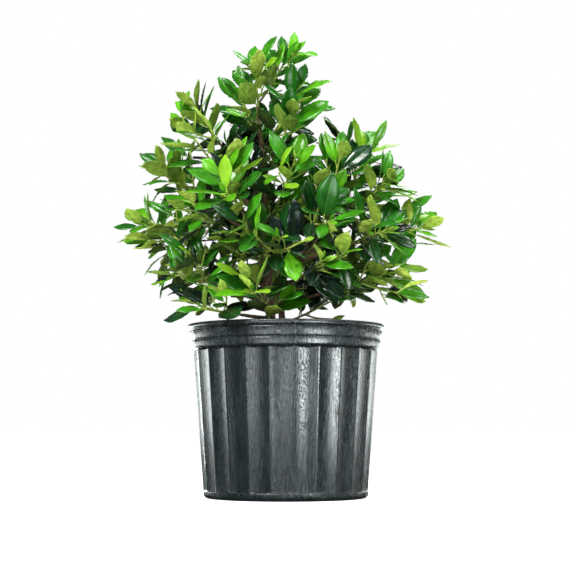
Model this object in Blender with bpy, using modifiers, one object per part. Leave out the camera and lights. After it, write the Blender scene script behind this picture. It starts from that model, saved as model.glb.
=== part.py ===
"""A potted holly: a young shrub with two stems, in a fluted nursery pot of potting soil.

Metres, +Z up, the origin at the middle of the pot's underside. The front is towards -Y.
"""
import itertools
import math
import random
from collections import namedtuple

import bmesh
import bpy
from mathutils import Vector
from mathutils.bvhtree import BVHTree

MM = 0.001
CLEAR = 0.3 * MM

# The pot: a thin shell with a stepped collar, hollow flutes that meet in sharp edges and holes in its floor.
POT_HEIGHT = 245 * MM
LIP_RADIUS = 140 * MM
LIP_DEPTH = 7 * MM
COLLAR_RADIUS = 137.2 * MM
COLLAR_DEPTH = 35.5 * MM
COLLAR_TAPER = 1.4 * MM
WALL_TOP_RADIUS = 131.6 * MM
WALL_FOOT_RADIUS = 116.5 * MM
FLOOR_RADIUS = 111 * MM
FOOT_HEIGHT = 6 * MM
SHELL = 2 * MM
FLUTES = 24
FLUTE_DEPTH = 3.2 * MM
FLUTE_LOW = 16 * MM
FLUTE_HIGH = 201 * MM
FIRST_ARRIS = 275.3
DRAIN_HOLES = 5
DRAIN_RADIUS = 8 * MM
DRAIN_REACH = 82 * MM
DRAIN_SIDES = 10
DRILL_LENGTH = 12 * MM
LEDGE = 1 * MM
COLUMNS = 3

# The soil fills the pot to a little below its lip.
SOIL_TOP = 222 * MM

# The two stems: middle points in mm, then the radius at the soil, at the tip and of the root flare.
Stem = namedtuple("Stem", "name points base tip flare")
MAIN = Stem(
    "main_stem",
    [(-20, 0, 222.3), (-22, 0, 262), (-27, 0, 342), (-31, 2, 440), (-36, 2, 510), (-41, 0, 566)],
    6.6 * MM, 2.0 * MM, 3.4 * MM,
)
RIGHT = Stem(
    "right_stem",
    [(-2.5, 4, 222.3), (-6, 6, 262), (-7, 9, 318), (28, 12, 350), (62, 8, 398), (92, 4, 442)],
    4.4 * MM, 1.9 * MM, 1.2 * MM,
)
STEM_SIDES = 8
STEM_STEPS = 13
TAPER_POWER = 1.25
FLARE_SPAN = 0.09

# The sprays: the stem each grows from and how high, then where its shoot ends, all in mm:
# to the right, to the back, and up. The last value is how many side shoots it has.
Spray = namedtuple("Spray", "name stem foot right back up side_shoots")
SPRAYS = [
    Spray("leader", MAIN, 566, 3, 0, 638, 0),
    Spray("crest_left", MAIN, 545, -44, -14, 622, 0),
    Spray("crest_low_left", MAIN, 515, -64, -10, 574, 0),
    Spray("crest_right", MAIN, 500, 20, -24, 586, 0),
    Spray("crest_low_right", MAIN, 460, 8, -44, 538, 0),
    Spray("crest_back", MAIN, 480, -20, 55, 555, 1),
    Spray("spire_front", MAIN, 385, 12, -66, 470, 1),
    Spray("left_shoulder_top", MAIN, 430, -127, 0, 555, 1),
    Spray("left_shoulder_inner", MAIN, 412, -84, -32, 500, 1),
    Spray("left_shoulder", MAIN, 396, -130, -40, 508, 1),
    Spray("left_upper", MAIN, 362, -174, 10, 476, 1),
    Spray("left_front", MAIN, 350, -86, -86, 446, 2),
    Spray("left_middle", MAIN, 330, -128, -45, 412, 1),
    Spray("left_tip", MAIN, 300, -194, 4, 394, 2),
    Spray("left_low", MAIN, 276, -152, -30, 322, 2),
    Spray("rim_left", MAIN, 254, -112, -110, 260, 1),
    Spray("low_front", MAIN, 268, -46, -112, 284, 1),
    Spray("centre_front", MAIN, 300, -8, -112, 356, 2),
    Spray("centre_left", MAIN, 322, -58, -96, 380, 2),
    Spray("centre_right", RIGHT, 345, 46, -88, 404, 2),
    Spray("centre_low_right", RIGHT, 292, 48, -100, 326, 2),
    Spray("right_inner", RIGHT, 378, 76, -44, 478, 1),
    Spray("right_shoulder", RIGHT, 442, 116, 0, 498, 1),
    Spray("right_shoulder_low", RIGHT, 408, 146, -26, 444, 1),
    Spray("far_right", RIGHT, 352, 192, 0, 384, 1),
    Spray("right_middle", RIGHT, 336, 138, -62, 374, 1),
    Spray("right_low", RIGHT, 276, 152, -46, 318, 2),
    Spray("low_right", RIGHT, 247, 96, 30, 300, 1),
    Spray("back_low_left", MAIN, 284, -100, 118, 345, 2),
    Spray("back_low", RIGHT, 290, 4, 142, 350, 2),
    Spray("back_low_right", RIGHT, 304, 108, 110, 352, 2),
    Spray("back_left", MAIN, 346, -126, 84, 424, 2),
    Spray("back_middle", MAIN, 372, -10, 118, 428, 2),
    Spray("back_right", RIGHT, 392, 96, 84, 430, 2),
    Spray("back_upper", MAIN, 434, -62, 72, 500, 1),
]

# A spray further than this from its stem is carried by a bough, which ends where it enters the leaves.
BOUGH_REACH = 118 * MM
BOUGH_SHARE = 0.58
BOUGH_SIDES = 5
BOUGH_STEPS = 5
BOUGH_BASE = 2.1 * MM
BOUGH_GAIN = 0.006
FOOT_SHIFTS = [shift * MM for shift in (0, 7, -7, 14, -14, 21, -21)]
SPREAD_FIRST = 0.52
RISE_FIRST = 0.42

# The green shoots that carry the leaves, three-sided.
SHOOT_SIDES = 3
SHOOT_BASE = 2.0 * MM
SHOOT_TIP = 1.5 * MM
SHOOT_STEPS = 3
SHOOT_MARGIN = 0.5 * MM
SIDE_BASE = 1.7 * MM
SIDE_STEPS = 2
SIDE_LENGTH = (38 * MM, 56 * MM)
SIDE_ANGLE = 46.0
SIDE_RISE = 0.16
SIDE_TURN = 2.8
SIDE_FIRST = 0.12
SIDE_SPAN = 0.36

# Leaves: folded along the midrib, arching down to the tip, in a spiral that crowds at the shoot's end.
Leaf = namedtuple("Leaf", "base axis face length slimness bend fold")
LEAF_LENGTH = (60 * MM, 78 * MM)
LEAF_SLIMNESS = (0.37, 0.47)
LEAF_THICKNESS = 1.8 * MM
LEAF_SUNK = 0.5 * MM
LEAF_BEND = (8.0, 34.0)
LEAF_FOLD = (6.0, 20.0)
# Where the leaf's corners lie, as shares of its length, and how wide it is there.
LEAF_NEAR = (0.4, 1.0)
LEAF_FAR = (0.74, 0.9)
LEAF_TOP = 0.5
LEAF_KEEL = 0.26
PETIOLE = 0.14
YOUNG_LEAVES = 2
YOUNG_SHARE = (0.62, 0.85)
LEAST_LEAVES = 5
LEAF_SPACING = 10.5 * MM
FIRST_LEAF = 0.16
LAST_LEAF = 0.975
CROWDING = 1.35
GOLDEN_TURN = 137.5
LOW_LEAF_ANGLE = 78.0
TOP_LEAF_ANGLE = 34.0
ANGLE_SCATTER = 9.0
LEAF_RISE = 0.1
LOOK_UP = 0.75
LOOK_OUT = 0.7
LOOK_FROM = Vector((0, 55, 0)) * MM
LOOK_SCATTER = 0.3
LEAF_MARGIN = 0.6 * MM
SKIRT = 272 * MM
DROOP = 25 * MM
SPACE_SHARED = 12 * MM
TRIES = 5
NUDGE = 0.5
SEED = 10

Grown = namedtuple("Grown", "spray bough shoots leaves")
WELD = 0.002 * MM
CAP_WELD = 0.01 * MM
STEEP = 0.9
UP = Vector((0, 0, 1))


def clear_scene():
    for thing in list(bpy.data.objects):
        bpy.data.objects.remove(thing, do_unlink=True)


def new_collection(name):
    group = bpy.data.collections.new(name)
    bpy.context.scene.collection.children.link(group)
    return group


def material(name, colour, roughness, metallic=0.0):
    made = bpy.data.materials.new(name)
    made.use_nodes = True
    shader = made.node_tree.nodes["Principled BSDF"]
    shader.inputs["Base Color"].default_value = (*colour, 1)
    shader.inputs["Roughness"].default_value = roughness
    shader.inputs["Metallic"].default_value = metallic
    return made


def place(name, mesh, group, finish=None):
    thing = bpy.data.objects.new(name, mesh)
    group.objects.link(thing)
    if finish:
        mesh.materials.clear()
        mesh.materials.append(finish)
    return thing


def evaluated_mesh(thing):
    graph = bpy.context.evaluated_depsgraph_get()
    return bpy.data.meshes.new_from_object(thing.evaluated_get(graph))


def profile_object(name, points, group):
    """A chain of edges in the XZ plane, from the top down, for a Screw modifier."""
    mesh = bpy.data.meshes.new(name)
    bm = bmesh.new()
    rings = [bm.verts.new((x, 0, z)) for x, z in points]
    for upper, lower in zip(rings, rings[1:]):
        bm.edges.new((upper, lower))
    bm.to_mesh(mesh)
    bm.free()
    return place(name, mesh, group)


def screw(thing, steps):
    turn = thing.modifiers.new("turn", "SCREW")
    turn.angle = math.tau
    turn.steps = steps
    turn.render_steps = steps
    turn.use_merge_vertices = True
    turn.merge_threshold = WELD
    return turn


def smooth_path(points, steps):
    """Catmull-Rom curve through the points."""
    spots = [Vector(p) for p in points]
    spots = [2 * spots[0] - spots[1]] + spots + [2 * spots[-1] - spots[-2]]
    spans = len(points) - 1
    path = []
    for i in range(steps + 1):
        t = i / steps * spans
        k = min(int(t), spans - 1)
        t -= k
        a, b, c, d = spots[k:k + 4]
        path.append(0.5 * ((2 * b) + (c - a) * t + (2 * a - 5 * b + 4 * c - d) * t ** 2
                           + (3 * b - 3 * c + d - a) * t ** 3))
    return path


def bend_path(start, middle, end, first, last, steps):
    """The stretch from first to last, as shares, of the curve that start, middle and end control."""
    path = []
    for i in range(steps + 1):
        t = first + (last - first) * i / steps
        path.append(start * (1 - t) ** 2 + middle * (2 * t * (1 - t)) + end * t ** 2)
    return path


def tube_mesh(path, radii, sides):
    """A closed tapering tube: a curve whose bevel is a ring of straight sides."""
    ring_data = bpy.data.curves.new("ring", "CURVE")
    ring_data.dimensions = "2D"
    ring = ring_data.splines.new("POLY")
    ring.points.add(sides - 1)
    for i, point in enumerate(ring.points):
        turn = math.tau * i / sides
        point.co = (math.cos(turn), math.sin(turn), 0, 1)
    ring.use_cyclic_u = True
    ring_object = bpy.data.objects.new("ring", ring_data)
    data = bpy.data.curves.new("tube", "CURVE")
    data.dimensions = "3D"
    data.bevel_mode = "OBJECT"
    data.bevel_object = ring_object
    data.use_fill_caps = True
    spline = data.splines.new("POLY")
    spline.points.add(len(path) - 1)
    for point, spot, radius in zip(spline.points, path, radii):
        point.co = (*spot, 1)
        point.radius = radius
    tube = bpy.data.objects.new("tube", data)
    for thing in (ring_object, tube):
        bpy.context.scene.collection.objects.link(thing)
    mesh = evaluated_mesh(tube)
    for thing in (tube, ring_object):
        bpy.data.objects.remove(thing, do_unlink=True)
    bm = bmesh.new()
    bm.from_mesh(mesh)
    bmesh.ops.remove_doubles(bm, verts=bm.verts, dist=CAP_WELD)
    bmesh.ops.recalc_face_normals(bm, faces=bm.faces)
    bm.to_mesh(mesh)
    bm.free()
    return mesh


def tree_of(mesh):
    bm = bmesh.new()
    bm.from_mesh(mesh)
    tree = BVHTree.FromBMesh(bm)
    bm.free()
    return tree


def build_pot(parts, cutters, finish):
    """Turned from its profile, fluted, given its thickness and drilled through the floor."""
    collar_foot = POT_HEIGHT - COLLAR_DEPTH
    profile = [
        (LIP_RADIUS, POT_HEIGHT),
        (LIP_RADIUS, POT_HEIGHT - LIP_DEPTH),
        (COLLAR_RADIUS, POT_HEIGHT - LIP_DEPTH - LEDGE),
        (COLLAR_RADIUS - COLLAR_TAPER, collar_foot),
        (WALL_TOP_RADIUS, collar_foot - LEDGE),
        (wall_radius(FLUTE_HIGH), FLUTE_HIGH),
        (wall_radius(FLUTE_LOW), FLUTE_LOW),
        (WALL_FOOT_RADIUS, FOOT_HEIGHT),
        (FLOOR_RADIUS, 0),
        (0, 0),
    ]
    turned = profile_object("turned", profile, cutters)
    screw(turned, COLUMNS * FLUTES)
    mesh = evaluated_mesh(turned)
    bpy.data.objects.remove(turned, do_unlink=True)
    for point in mesh.vertices:
        flute_point(point)
    pot = place("nursery_pot", mesh, parts, finish)
    wall = pot.modifiers.new("thickness", "SOLIDIFY")
    wall.thickness = SHELL
    wall.offset = -1
    wall.use_even_offset = True
    for i in range(DRAIN_HOLES):
        turn = math.tau * i / DRAIN_HOLES
        bpy.ops.mesh.primitive_cylinder_add(
            vertices=DRAIN_SIDES, radius=DRAIN_RADIUS, depth=DRILL_LENGTH,
            location=(DRAIN_REACH * math.sin(turn), DRAIN_REACH * math.cos(turn), 0),
        )
        drill = bpy.context.object
        drill.name = f"drain_cutter_{i + 1}"
        for group in list(drill.users_collection):
            group.objects.unlink(drill)
        cutters.objects.link(drill)
        drill.display_type = "WIRE"
        drill.hide_render = True
        cut = pot.modifiers.new(f"drain_{i + 1}", "BOOLEAN")
        cut.operation = "DIFFERENCE"
        cut.object = drill
    return pot


def wall_radius(height):
    share = (height - FOOT_HEIGHT) / (POT_HEIGHT - COLLAR_DEPTH - FOOT_HEIGHT)
    return WALL_FOOT_RADIUS + (WALL_TOP_RADIUS - WALL_FOOT_RADIUS) * share


def flute_point(point):
    """Keeps the first column of each flute as its sharp edge and sinks the others into its hollow."""
    x, y, z = point.co
    reach = math.hypot(x, y)
    turn = math.degrees(math.atan2(y, x))
    column = round(turn * COLUMNS * FLUTES / 360) % COLUMNS
    in_wall = FLUTE_LOW - LEDGE < z < FLUTE_HIGH + LEDGE
    if in_wall and column:
        reach -= FLUTE_DEPTH
    turn = math.radians(turn + FIRST_ARRIS)
    point.co = (reach * math.cos(turn), reach * math.sin(turn), z)


def build_soil(parts, finish):
    """A plug of soil, turned, that stays clear of the pot's wall, flutes and floor."""
    side = SHELL + FLUTE_DEPTH + CLEAR
    top = SOIL_TOP
    profile = [
        (0, top),
        (COLLAR_RADIUS - COLLAR_TAPER - side, top),
        (WALL_TOP_RADIUS - side - CLEAR, POT_HEIGHT - COLLAR_DEPTH - 2 * LEDGE),
        (WALL_FOOT_RADIUS - side, FLUTE_LOW),
        (FLOOR_RADIUS - side, SHELL + CLEAR),
        (0, SHELL + CLEAR),
    ]
    soil = profile_object("potting_soil", profile, parts)
    screw(soil, FLUTES)
    soil.data.materials.append(finish)
    return soil


def stem_line(stem):
    path = smooth_path([Vector(p) * MM for p in stem.points], STEM_STEPS)
    path[1].xy = path[0].xy
    radii = []
    for i in range(len(path)):
        t = i / STEM_STEPS
        radius = stem.tip + (stem.base - stem.tip) * (1 - t) ** TAPER_POWER
        radii.append(radius + stem.flare * math.exp(-t / FLARE_SPAN))
    return path, radii


def at_height(path, height):
    """The point of the path at that height, or its end."""
    for low, high in zip(path, path[1:]):
        if low.z <= height <= high.z:
            return low.lerp(high, (height - low.z) / (high.z - low.z))
    return path[-1].copy()


def leaf_corners(leaf, grow=0.0):
    """The eight corners of a leaf, as a dictionary; grow makes it that much larger all round."""
    side = leaf.axis.cross(leaf.face)
    bend = math.radians(leaf.bend)
    length = leaf.length + grow

    def midrib(share):
        along = length * math.sin(bend * share) / bend
        drop = length * (1 - math.cos(bend * share)) / bend
        return leaf.base + leaf.axis * along - leaf.face * drop

    def edge(share, width, hand):
        out = leaf.length * leaf.slimness / 2 * width + grow
        lift = out * math.tan(math.radians(leaf.fold))
        return midrib(share) + side * (out * hand) + leaf.face * lift

    return {
        "tip": midrib(1),
        "left far": edge(*LEAF_FAR, -1),
        "left near": edge(*LEAF_NEAR, -1),
        "base": leaf.base - leaf.axis * LEAF_SUNK,
        "right near": edge(*LEAF_NEAR, 1),
        "right far": edge(*LEAF_FAR, 1),
        "top": midrib(LEAF_TOP) + leaf.face * grow,
        "under": midrib(LEAF_KEEL) - leaf.face * (LEAF_THICKNESS + grow),
    }


def leaf_mesh(leaf):
    """A sphere of six sides and two rings, whose eight points are pulled to the leaf's corners."""
    corners = leaf_corners(leaf)
    ring = list(corners)[:6]
    bm = bmesh.new()
    bmesh.ops.create_uvsphere(bm, u_segments=6, v_segments=2, radius=1)
    for point in bm.verts:
        if abs(point.co.z) > 0.5:
            point.co = corners["top" if point.co.z > 0 else "under"]
        else:
            sixth = round(math.degrees(math.atan2(point.co.y, point.co.x)) / 60) % 6
            point.co = corners[ring[sixth]]
    mesh = bpy.data.meshes.new("leaf")
    bm.to_mesh(mesh)
    bm.free()
    return mesh


def leaf_tree(leaf, grow=0.0):
    corners = leaf_corners(leaf, grow)
    faces = []
    for i in range(6):
        j = (i + 1) % 6
        faces += [(i, j, 6), (j, i, 7)]
    return BVHTree.FromPolygons(list(corners.values()), faces)


class Crown:
    """Everything in place so far, so that nothing new touches it."""

    def __init__(self):
        self.placed = []
        self.axes = {}

    def add(self, owner, kind, tree):
        self.placed.append((owner, kind, tree))

    def is_clear(self, tree, *ignored):
        """Whether the tree meets nothing, apart from the ignored (owner, kind) pairs."""
        return not any(
            tree.overlap(other) for owner, kind, other in self.placed if (owner, kind) not in ignored
        )

    def is_own_space(self, name, spot):
        """Whether the spot is about nearer to its own spray's shoot than to any other's."""
        def away(axis):
            return min((spot - point).length for point in axis)
        own = away(self.axes[name]) - SPACE_SHARED
        return all(away(axis) >= own for other, axis in self.axes.items() if other != name)


def crossways(tangent, turn):
    """The direction square to the tangent, turned about it."""
    side = tangent.cross(UP if abs(tangent.z) < STEEP else Vector((1, 0, 0))).normalized()
    return side * math.cos(turn) + tangent.cross(side) * math.sin(turn)


def spot_on(path, share):
    """The point and direction at a share of the path's steps."""
    at = min(share * (len(path) - 1), len(path) - 1.001)
    k = int(at)
    return path[k].lerp(path[k + 1], at - k), (path[k + 1] - path[k]).normalized()


def path_length(path):
    return sum((b - a).length for a, b in zip(path, path[1:]))


def tapered(first, last, steps):
    return [first + (last - first) * i / steps for i in range(steps + 1)]


def grow_limbs(crown, spray, stem_path):
    """The bough's path, or None, and the shoot's, from the stem to the spray's end.

    A limb that would touch another one leaves its stem a little higher or lower.
    """
    end = Vector((spray.right, spray.back, spray.up)) * MM
    for shift in FOOT_SHIFTS:
        foot = at_height(stem_path, spray.foot * MM + shift)
        on_tip = spray.foot * MM >= stem_path[-1].z
        span = end - foot
        knee = foot + Vector((span.x * SPREAD_FIRST, span.y * SPREAD_FIRST, span.z * RISE_FIRST))
        if on_tip:
            foot = stem_path[-1]
            knee = foot + (foot - stem_path[-2]).normalized() * span.length / 2
        share = BOUGH_SHARE if span.length > BOUGH_REACH else 0.0
        gap = CLEAR / span.length if share or on_tip else 0.0
        shoot = bend_path(foot, knee, end, share + gap, 1, SHOOT_STEPS)
        bough = bend_path(foot, knee, end, 0, share, BOUGH_STEPS) if share else None
        whole = bend_path(foot, knee, end, 0, 1, BOUGH_STEPS)
        thick = BOUGH_BASE + BOUGH_GAIN * span.length
        guard = tube_mesh(whole, tapered(thick, SHOOT_TIP, BOUGH_STEPS), BOUGH_SIDES)
        if crown.is_clear(tree_of(guard), (spray.stem.name, "stem")):
            return bough, shoot
    raise ValueError(spray.name + " crosses another limb")


def grow_side_shoots(crown, rng, spray, path):
    """Side shoots leave the shoot on alternate sides and turn up a little."""
    shoots = []
    turn = rng.uniform(0, math.tau)
    for i in range(spray.side_shoots):
        share = SIDE_FIRST + SIDE_SPAN * (i + 1) / (spray.side_shoots + 1)
        turn += SIDE_TURN
        for trial in range(TRIES):
            length = rng.uniform(*SIDE_LENGTH)
            nudge = rng.uniform(-NUDGE, NUDGE) * trial
            base, tangent = spot_on(path, share)
            lean = math.radians(SIDE_ANGLE)
            way = tangent * math.cos(lean) + crossways(tangent, turn + nudge) * math.sin(lean)
            end = base + way * length + UP * length * SIDE_RISE
            side = bend_path(base, base + way * length / 2, end, 0, 1, SIDE_STEPS)
            guard = tree_of(shoot_mesh(side, SHOOT_MARGIN))
            if crown.is_clear(guard, (spray.name, "shoot")) and crown.is_own_space(spray.name, end):
                shoots.append(side)
                break
    return shoots


def try_leaf(rng, path, share, turn, young):
    """One leaf: where it starts, which way it points and which way its upper side looks."""
    base, tangent = spot_on(path, share)
    out = crossways(tangent, turn)
    angle = LOW_LEAF_ANGLE + (TOP_LEAF_ANGLE - LOW_LEAF_ANGLE) * share
    angle = math.radians(angle + rng.uniform(-ANGLE_SCATTER, ANGLE_SCATTER))
    axis = (tangent * math.cos(angle) + out * math.sin(angle) + UP * LEAF_RISE).normalized()
    away = base - LOOK_FROM
    look = UP * LOOK_UP + Vector((away.x, away.y, 0)).normalized() * LOOK_OUT
    look += Vector([rng.uniform(-LOOK_SCATTER, LOOK_SCATTER) for _ in range(3)])
    face = (look - axis * look.dot(axis)).normalized()
    length = rng.uniform(*LEAF_LENGTH) * (rng.uniform(*YOUNG_SHARE) if young else 1)
    return Leaf(base, axis, face, length, rng.uniform(*LEAF_SLIMNESS), rng.uniform(*LEAF_BEND),
                rng.uniform(*LEAF_FOLD))


def grow_leaves(crown, rng, spray, path):
    """Leaves in a spiral up one shoot, each turned a little and tried again where it would touch.

    None hangs below the crown's skirt, unless its spray leans over the rim.
    """
    name = spray.name
    lowest = min(SKIRT, spray.up * MM - DROOP)
    count = max(LEAST_LEAVES, round(path_length(path) / LEAF_SPACING))
    turn = rng.uniform(0, math.tau)
    grown = []
    for i in range(count):
        back = (count - 1 - i) / (count - 1)
        share = LAST_LEAF - (LAST_LEAF - FIRST_LEAF) * back ** CROWDING
        turn += math.radians(GOLDEN_TURN)
        for trial in range(TRIES):
            nudge = rng.uniform(-NUDGE, NUDGE) * trial
            leaf = try_leaf(rng, path, share, turn + nudge, i >= count - YOUNG_LEAVES)
            corners = leaf_corners(leaf)
            if corners["tip"].z < lowest:
                continue
            if not crown.is_own_space(name, (corners["top"] + corners["tip"]) / 2):
                continue
            if not crown.is_clear(leaf_tree(leaf, LEAF_MARGIN), (name, "leaf"), (name, "shoot")):
                continue
            blade = leaf._replace(base=leaf.base + leaf.axis * leaf.length * PETIOLE,
                                  length=leaf.length * (1 - PETIOLE))
            if not crown.is_clear(leaf_tree(blade)):
                continue
            crown.add(name, "leaf", leaf_tree(leaf))
            grown.append(leaf)
            break
    return grown


def keep_one_body(mesh):
    """Keeps the largest closed body: loose scraps and sealed hollows are dropped."""
    bm = bmesh.new()
    bm.from_mesh(mesh)
    bmesh.ops.remove_doubles(bm, verts=bm.verts, dist=WELD)
    bmesh.ops.triangulate(bm, faces=bm.faces)
    left = set(bm.faces)
    bodies = []
    while left:
        body = [left.pop()]
        for face in body:
            linked = {other for edge in face.edges for other in edge.link_faces} & left
            left -= linked
            body.extend(linked)
        bodies.append(body)
    bodies.sort(key=lambda body: sum(face.calc_area() for face in body))
    scraps = [face for body in bodies[:-1] for face in body]
    bmesh.ops.delete(bm, geom=scraps, context="FACES")
    bm.to_mesh(mesh)
    bm.free()
    return mesh


def is_sound(mesh):
    """Whether every edge has two faces, the faces look outwards and none of them cross."""
    bm = bmesh.new()
    bm.from_mesh(mesh)
    corners = [set(face.verts) for face in bm.faces]
    tree = BVHTree.FromBMesh(bm)
    crosses = any(not corners[one] & corners[other] for one, other in tree.overlap(tree))
    sound = not crosses and all(edge.is_manifold for edge in bm.edges) and bm.calc_volume() > 0
    bm.free()
    return sound


def trimmed(mesh, guard):
    """The mesh with its foot cut to a saddle that sits just clear of the stem."""
    limb = place("limb", mesh, bpy.context.scene.collection)
    stem = place("stem guard", guard, bpy.context.scene.collection)
    cut = limb.modifiers.new("foot", "BOOLEAN")
    cut.operation = "DIFFERENCE"
    cut.object = stem
    result = keep_one_body(evaluated_mesh(limb))
    for thing in (limb, stem):
        bpy.data.objects.remove(thing, do_unlink=True)
    return result


def joined(meshes, solver):
    """One mesh of all of them, by a single union on a collection."""
    group = new_collection("pieces")
    body = place("body", meshes[0], bpy.context.scene.collection)
    for mesh in meshes[1:]:
        place("piece", mesh, group)
    join = body.modifiers.new("join", "BOOLEAN")
    join.operation = "UNION"
    join.operand_type = "COLLECTION"
    join.collection = group
    join.solver = solver
    result = keep_one_body(evaluated_mesh(body))
    for thing in (body, *group.objects):
        bpy.data.objects.remove(thing, do_unlink=True)
    bpy.data.collections.remove(group)
    return result


def fused(twigs, leaves):
    """The shoots with their leaves as one body; a join that fails is made again without a leaf or two."""
    for fewer in range(3):
        for left_out in itertools.combinations(leaves, fewer):
            pieces = twigs + [leaf_mesh(leaf) for leaf in leaves if leaf not in left_out]
            for solver in ("EXACT", "MANIFOLD"):
                mesh = joined(pieces, solver)
                if is_sound(mesh):
                    return mesh
    return joined(twigs, "EXACT")


def grow_crown(crown, stem_paths):
    """Every spray's bough, shoots and leaves: first the limbs, then the side shoots, then the leaves."""
    grown = {}
    for spray in SPRAYS:
        bough, shoot = grow_limbs(crown, spray, stem_paths[spray.stem.name])
        grown[spray.name] = Grown(spray, bough, [shoot], [])
        crown.axes[spray.name] = shoot[1:]
        if bough:
            crown.add(spray.name, "bough", tree_of(bough_mesh(bough)))
        crown.add(spray.name, "shoot", tree_of(shoot_mesh(shoot)))

    generators = {spray.name: random.Random(f"{SEED} {spray.name}") for spray in SPRAYS}
    for name, part in grown.items():
        for side in grow_side_shoots(crown, generators[name], part.spray, part.shoots[0]):
            crown.add(name, "shoot", tree_of(shoot_mesh(side)))
            part.shoots.append(side)
    for name, part in grown.items():
        for path in part.shoots:
            part.leaves.extend(grow_leaves(crown, generators[name], part.spray, path))
    return grown


def bough_mesh(path):
    thick = BOUGH_BASE + BOUGH_GAIN * path_length(path) / BOUGH_SHARE
    return tube_mesh(path, tapered(thick, SHOOT_BASE, BOUGH_STEPS), BOUGH_SIDES)


def shoot_mesh(path, margin=0.0):
    base = SHOOT_BASE if len(path) > SIDE_STEPS + 1 else SIDE_BASE
    radii = tapered(base + margin, SHOOT_TIP + margin, len(path) - 1)
    return tube_mesh(path, radii, SHOOT_SIDES)


def main():
    clear_scene()
    parts = new_collection("potted_holly")
    cutters = new_collection("cutters")
    pot_finish = material("pot_plastic", (0.045, 0.05, 0.05), 0.42)
    soil_finish = material("potting_soil", (0.035, 0.018, 0.012), 0.95)
    bark = material("bark", (0.13, 0.085, 0.05), 0.8)
    foliage = material("foliage", (0.045, 0.2, 0.02), 0.3)

    crown = Crown()
    for thing in (build_pot(parts, cutters, pot_finish), build_soil(parts, soil_finish)):
        crown.add(thing.name, "pot", tree_of(evaluated_mesh(thing)))
    stem_paths = {}
    guards = {}
    for stem in (MAIN, RIGHT):
        path, radii = stem_line(stem)
        stem_paths[stem.name] = path
        guards[stem.name] = tube_mesh(path, [radius + CLEAR for radius in radii], STEM_SIDES)
        trunk = place(stem.name, tube_mesh(path, radii, STEM_SIDES), parts, bark)
        crown.add(stem.name, "stem", tree_of(trunk.data))

    for name, part in grow_crown(crown, stem_paths).items():
        guard = guards[part.spray.stem.name]
        mesh = fused([shoot_mesh(path) for path in part.shoots], part.leaves)
        if part.bough:
            place("bough_" + name, trimmed(bough_mesh(part.bough), guard), parts, bark)
        else:
            mesh = trimmed(mesh, guard)
        place("foliage_" + name, mesh, parts, foliage)
        print(name, len(part.leaves), "leaves", len(mesh.polygons), "faces")


main()
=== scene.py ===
# %% [markdown]
# A young holly in a nursery pot. Its solids are already there as a fixed frame: a pot, a plug of soil,
# two stems, their boughs and the sprays of leaves. This lesson dresses them. It starts by loading that
# frame, from which every piece takes its place, and keeps the frame's own box, within which the twigs on
# the stems grow.

# %% The frame
import random
from collections import namedtuple
from math import cos, exp, radians, sin, sqrt, tan, tau

import bmesh
import bpy
import numpy as np
from mathutils import Matrix, Vector, noise
from mathutils.bvhtree import BVHTree


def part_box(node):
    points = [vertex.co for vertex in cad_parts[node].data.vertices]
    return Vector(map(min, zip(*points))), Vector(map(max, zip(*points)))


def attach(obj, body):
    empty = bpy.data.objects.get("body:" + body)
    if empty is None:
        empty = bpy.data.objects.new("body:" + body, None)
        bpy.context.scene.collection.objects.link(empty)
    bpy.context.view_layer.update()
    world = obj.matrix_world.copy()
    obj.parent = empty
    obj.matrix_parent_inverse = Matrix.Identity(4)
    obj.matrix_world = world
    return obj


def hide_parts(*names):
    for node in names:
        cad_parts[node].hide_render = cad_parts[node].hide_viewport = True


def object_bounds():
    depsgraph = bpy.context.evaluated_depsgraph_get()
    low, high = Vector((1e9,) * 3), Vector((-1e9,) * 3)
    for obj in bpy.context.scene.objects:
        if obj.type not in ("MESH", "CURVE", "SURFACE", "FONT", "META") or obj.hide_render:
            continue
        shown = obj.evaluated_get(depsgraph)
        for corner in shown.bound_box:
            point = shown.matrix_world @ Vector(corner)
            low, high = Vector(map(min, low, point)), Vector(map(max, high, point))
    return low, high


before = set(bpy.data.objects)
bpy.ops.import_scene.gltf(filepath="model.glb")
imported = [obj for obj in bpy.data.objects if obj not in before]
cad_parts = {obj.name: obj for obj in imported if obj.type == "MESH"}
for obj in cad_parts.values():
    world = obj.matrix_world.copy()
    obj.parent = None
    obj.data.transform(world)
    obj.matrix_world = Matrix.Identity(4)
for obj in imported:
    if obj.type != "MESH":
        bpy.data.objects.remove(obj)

CAD_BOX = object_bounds()
MM = 0.001
UP = Vector((0, 0, 1))

print("frame:", len(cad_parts), "nodes, box in mm", [round(v / MM) for end in CAD_BOX for v in end])

# %% [markdown]
# The photograph was taken from about two metres away with a long lens, from below the pot's lip and
# looking a little upwards: the soil in the pot can't be seen, and the lip's front edge bows upwards. A
# camera that stands in the same place shows the pot with the same curves, which no later change of zoom
# could give.

# %% The camera
FOCAL_PIXELS = 1470
IMAGE_PIXELS = 576
SENSOR = 36
EYE = Vector((0.003, -2.1, 0.103))
PITCH = 5.32


def put(name, data):
    """A new object with those data, in the scene."""
    made = bpy.data.objects.new(name, data)
    bpy.context.scene.collection.objects.link(made)
    return made


lens = bpy.data.cameras.new("photo_lens")
lens.sensor_width = SENSOR
lens.lens = SENSOR * FOCAL_PIXELS / IMAGE_PIXELS
camera = put("photo_camera", lens)
camera.location = EYE
camera.rotation_euler = (radians(90 + PITCH), 0, 0)
bpy.context.scene.camera = camera
print("lens of", round(lens.lens, 1), "mm,", abs(EYE.y), "m in front of the stem")

# %% [markdown]
# Shader maths is easier to read as plain expressions. The class below wraps one socket and gives it the
# usual operators, so that `1 - mask` or `grain * 0.3` adds the Math node that it needs. Colours don't go
# through Math nodes, which would turn them grey: they are mixed by a Mix node. Every other node comes
# from one method.

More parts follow.
